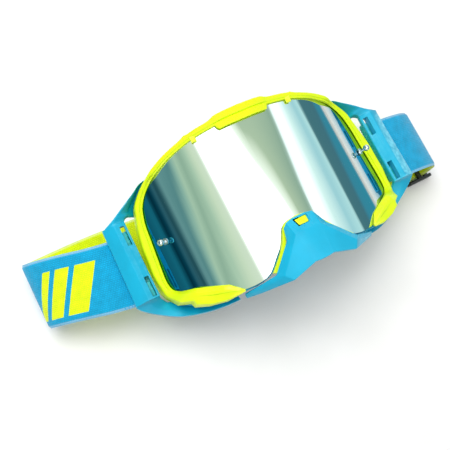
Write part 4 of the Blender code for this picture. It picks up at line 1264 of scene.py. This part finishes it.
def build_world():
    """Surroundings that the lens mirrors: a softbox overhead, cards and dim walls beside it."""
    world = bpy.data.worlds.new("studio")
    bpy.context.scene.world = world
    world.use_nodes = True
    tree = world.node_tree
    tree.nodes.clear()
    way = add(tree, "ShaderNodeTexCoord").outputs["Generated"]
    parts = add(tree, "ShaderNodeSeparateXYZ", {0: way})
    x, y, z = parts.outputs[0], parts.outputs[1], parts.outputs[2]
    degrees = 180 / math.pi
    angle = maths(tree, "MULTIPLY", maths(tree, "ARCTAN2", x, z), degrees)
    tilt = maths(tree, "MULTIPLY", maths(tree, "ARCSINE", y), degrees)
    share = spread(tree, angle, -180, 180, 0, 1)
    leans = [((a + 180) / 360, (lean / LEAN_RANGE + 0.5,) * 3 + (1.0,)) for a, lean in BAND_LEANS]
    lean = maths(tree, "SUBTRACT", value_ramp(tree, share, leans), 0.5)
    lean = maths(tree, "MULTIPLY", lean, LEAN_RANGE)
    off = maths(tree, "MULTIPLY", maths(tree, "SUBTRACT", tilt, BAND_TILT), lean)
    stretched = add(tree, "ShaderNodeVectorMath", {0: way, 1: HAZE_STRETCH},
                    operation="MULTIPLY").outputs[0]
    haze = add(tree, "ShaderNodeTexNoise", {"Vector": stretched, "Scale": 1.0, "Detail": 3.0,
                                            "Roughness": 0.55}).outputs[0]
    wander = maths(tree, "MULTIPLY", maths(tree, "SUBTRACT", haze, 0.5), HAZE_WANDER)
    from_middle = maths(tree, "ABSOLUTE", maths(tree, "SUBTRACT", angle, CALM_MIDDLE))
    calm = spread(tree, from_middle, *CALM_EDGES, 0, 1)
    bent = maths(tree, "ADD", maths(tree, "ADD", angle, off), maths(tree, "MULTIPLY", wander, calm))
    bands = []
    for place, colour, level in LIGHT_BANDS:
        bands.append(((place + 180) / 360,
                      tuple(c * level / BRIGHTEST for c in linear(colour)) + (1.0,)))
    colour = value_ramp(tree, spread(tree, bent, -180, 180, 0, 1), bands)
    below = spread(tree, z, -0.12, 0.0, 1.0, 0.0)
    colour = mix(tree, below, colour, tuple(c / BRIGHTEST for c in linear("#E4EAEA")))
    light = add(tree, "ShaderNodeBackground", {"Color": colour, "Strength": BRIGHTEST})
    plain = add(tree, "ShaderNodeBackground", {"Color": (1.0, 1.0, 1.0, 1.0), "Strength": 1.0})
    soft = add(tree, "ShaderNodeBackground", {"Color": (1.0, 0.99, 0.97, 1.0),
                                              "Strength": sizes().room_light})
    path = add(tree, "ShaderNodeLightPath").outputs
    both = add(tree, "ShaderNodeMixShader", {0: path["Is Glossy Ray"], 1: soft.outputs[0],
                                             2: light.outputs[0]})
    both = add(tree, "ShaderNodeMixShader", {0: path["Is Camera Ray"], 1: both.outputs[0],
                                             2: plain.outputs[0]})
    add(tree, "ShaderNodeOutputWorld", {"Surface": both.outputs[0]})


def area_light(name, place, size, power):
    """A softbox that lights the pieces but doesn't show in the mirror lens."""
    light = bpy.data.lights.new(name, "AREA")
    light.shape = "RECTANGLE"
    light.size = light.size_y = size
    light.energy = power
    obj = new_object(name, light)
    obj.location = point(*place)
    obj.rotation_mode = "QUATERNION"
    obj.rotation_quaternion = (point(*LIGHT_TARGET) - point(*place)).to_track_quat("-Z", "Y")
    obj.visible_glossy = False
    obj.visible_camera = False


def build_stage():
    bm = bmesh.new()
    bmesh.ops.create_grid(bm, x_segments=8, y_segments=8, size=1.6)
    floor = from_bmesh("table", bm)
    floor.data.materials.append(matt_board())
    if floor.data.polygons[0].normal.z < 0:
        floor.data.flip_normals()
    build_world()
    area_light("key_softbox", (-180, 250, 720), 0.5, sizes().key_power)
    area_light("fill_softbox", (420, -260, 480), 0.6, sizes().key_power * FILL_SHARE)
    scene = bpy.context.scene
    scene.view_settings.view_transform = "Standard"
    lens = bpy.data.cameras.new("camera")
    lens.sensor_width = 36.0
    lens.lens = CAMERA_LENS
    lens.clip_start = 0.01
    camera = new_object("camera", lens)
    turn = Matrix(CAMERA_AXES).transposed().to_4x4()
    camera.matrix_world = Matrix.Translation(point(*CAMERA_PLACE)) @ turn
    scene.camera = camera


# ---------------------------------------------------------------- settings

def colour_property(name, description, hex_colour):
    return FloatVectorProperty(name=name, description=description, default=linear(hex_colour),
                               subtype="COLOR", min=0.0, max=1.0)


class GogglesColours(bpy.types.PropertyGroup):
    """Colours of the goggles."""
    yellow: colour_property("Yellow", "Front frame and accents", "#D9F400")
    blue: colour_property("Blue", "Chassis, outriggers and nose guard", "#00AAD0")
    teal: colour_property("Teal", "Strap clips", "#009C9C")
    mirror: colour_property("Mirror", "Mirror coat in the middle of the lens", "#E9F1EE")
    # Teal at the lens ends: partly the coat's tint, partly a painted reflection of the blue parts.
    mirror_end_tint_and_reflection: colour_property("Mirror ends", "Mirror coat at the ends of the lens", "#2E93AE")
    webbing: colour_property("Strap", "Outside of the strap", "#06A6D6")
    bars: colour_property("Strap bars", "Woven bars on the strap", "#E4FA10")
    lining: colour_property("Strap inside", "Inside of the strap", "#DDF20A")


class GogglesSizes(bpy.types.PropertyGroup):
    """Sizes that change the look of the goggles."""
    weave_rib: FloatProperty(name="Weave rib", description="Rib to rib along the strap",
                             default=0.0016, min=0.0004, max=0.004, unit="LENGTH", precision=4)
    weave_thread: FloatProperty(name="Weave thread", description="Thread to thread across",
                                default=0.0013, min=0.0004, max=0.004, unit="LENGTH", precision=4)
    guard_edge: FloatProperty(name="Guard edge", description="Radius of the nose guard's edges",
                              default=0.00032, min=0.0001, max=0.001, unit="LENGTH", precision=5)
    room_light: FloatProperty(name="Room light", description="Light from all round",
                              default=0.56, min=0.0, max=5.0)
    key_power: FloatProperty(name="Key light", description="Power of the main softbox",
                             default=5.0, min=0.0, max=100.0, unit="POWER")


def colours():
    return bpy.context.scene.goggles_colours


def sizes():
    return bpy.context.scene.goggles_sizes


# ---------------------------------------------------------------- operators

class BuildFrontFrame(bpy.types.Operator):
    """Build the yellow front frame with its visor tab, hooks and lower corners."""
    bl_idname = "goggles.front_frame"
    bl_label = "Front frame"

    def execute(self, context):
        build_front_frame()
        return {"FINISHED"}


class BuildChassis(bpy.types.Operator):
    """Build the blue chassis and its two outriggers."""
    bl_idname = "goggles.chassis"
    bl_label = "Chassis and outriggers"

    def execute(self, context):
        finish = blue_nylon()
        build_chassis(finish)
        build_outrigger(-1, "outrigger_left", finish)
        build_outrigger(1, "outrigger_right", finish)
        return {"FINISHED"}


class BuildLens(bpy.types.Operator):
    """Build the mirror lens."""
    bl_idname = "goggles.lens"
    bl_label = "Lens"

    def execute(self, context):
        build_lens()
        return {"FINISHED"}


class BuildPosts(bpy.types.Operator):
    """Build the tear-off posts and finish their washers."""
    bl_idname = "goggles.posts"
    bl_label = "Tear-off posts"

    def execute(self, context):
        build_posts(stainless_steel(), black_acetal())
        return {"FINISHED"}


class BuildNoseGuard(bpy.types.Operator):
    """Build the nose guard, its insert and its rim."""
    bl_idname = "goggles.nose_guard"
    bl_label = "Nose guard"

    def execute(self, context):
        build_nose_guard(blue_nylon(), yellow_tpu())
        return {"FINISHED"}


class BuildFoams(bpy.types.Operator):
    """Build the lens seal, the face foam layers and the vent foams."""
    bl_idname = "goggles.foams"
    bl_label = "Foams"

    def execute(self, context):
        # Closed-cell EVA foam, die cut: tiny cells and a dull skin.
        eva = foam("eva_foam_die_cut", linear("#5A4634"), 0.5)
        # Open-cell polyurethane foam, slit from a block: open pores with painted shade in them.
        open_cell = foam("polyurethane_foam_open_cell", linear("#4A4C50"), 1.1)
        # Reticulated filter foam, cut thin: wide pores that air passes through.
        filter_foam = foam("reticulated_filter_foam", linear("#26282A"), 1.6)
        build_soft("lens_seal_strip", "lens_seal", eva, "seal_foam", 0.9, 3.0, 0.03)
        build_soft("face_foam_base", "foam_base", eva, "seal_foam", 1.5, 4.0, 0.06)
        build_soft("face_foam_comfort", "foam_comfort", open_cell, "face_foam", 2.4, 5.0, 0.12, 0.6)
        build_soft("face_foam_fleece", "foam_fleece", fleece(), "fleece", 1.4, 3.0, 0.12)
        for node in ("brow_vent_foam", "side_vent_foam_left", "side_vent_foam_right",
                     "cheek_vent_foam_left", "cheek_vent_foam_right"):
            build_soft(node + "_pad", node, filter_foam, "face_foam", 1.0, 2.0, 0.05)
        return {"FINISHED"}


class BuildStrap(bpy.types.Operator):
    """Build the two lengths of woven strap and their stitches."""
    bl_idname = "goggles.strap"
    bl_label = "Strap"

    def execute(self, context):
        build_strap()
        return {"FINISHED"}


class BuildClips(bpy.types.Operator):
    """Build the clips at the strap's ends."""
    bl_idname = "goggles.clips"
    bl_label = "Strap clips"

    def execute(self, context):
        build_clips()
        return {"FINISHED"}


class BuildSlider(bpy.types.Operator):
    """Build the slider that sets the strap's length."""
    bl_idname = "goggles.slider"
    bl_label = "Strap slider"

    def execute(self, context):
        build_slider()
        return {"FINISHED"}


class BuildStage(bpy.types.Operator):
    """Build the table, the lights and the camera."""
    bl_idname = "goggles.stage"
    bl_label = "Studio"

    def execute(self, context):
        build_stage()
        return {"FINISHED"}


class GogglesPanel(bpy.types.Panel):
    """The goggles' sizes, colours and build steps."""
    bl_idname = "VIEW3D_PT_goggles"
    bl_label = "Motocross goggles"
    bl_space_type = "VIEW_3D"
    bl_region_type = "UI"
    bl_category = "Goggles"

    def draw(self, context):
        for group in (context.scene.goggles_sizes, context.scene.goggles_colours):
            for name in group.__annotations__:
                self.layout.prop(group, name)
        for operator in OPERATORS:
            self.layout.operator(operator.bl_idname)


OPERATORS = (BuildFrontFrame, BuildChassis, BuildLens, BuildPosts, BuildNoseGuard, BuildFoams,
             BuildStrap, BuildClips, BuildSlider, BuildStage)
CLASSES = (GogglesColours, GogglesSizes, *OPERATORS, GogglesPanel)


def register():
    for cls in CLASSES:
        bpy.utils.register_class(cls)
    bpy.types.Scene.goggles_colours = PointerProperty(type=GogglesColours)
    bpy.types.Scene.goggles_sizes = PointerProperty(type=GogglesSizes)


def unregister():
    del bpy.types.Scene.goggles_sizes
    del bpy.types.Scene.goggles_colours
    for cls in reversed(CLASSES):
        bpy.utils.unregister_class(cls)


def main():
    register()
    bpy.ops.goggles.front_frame()
    bpy.ops.goggles.chassis()
    bpy.ops.goggles.lens()
    bpy.ops.goggles.posts()
    bpy.ops.goggles.nose_guard()
    bpy.ops.goggles.foams()
    bpy.ops.goggles.strap()
    bpy.ops.goggles.clips()
    bpy.ops.goggles.slider()
    bpy.ops.goggles.stage()


if __name__ == "__main__":
    main()
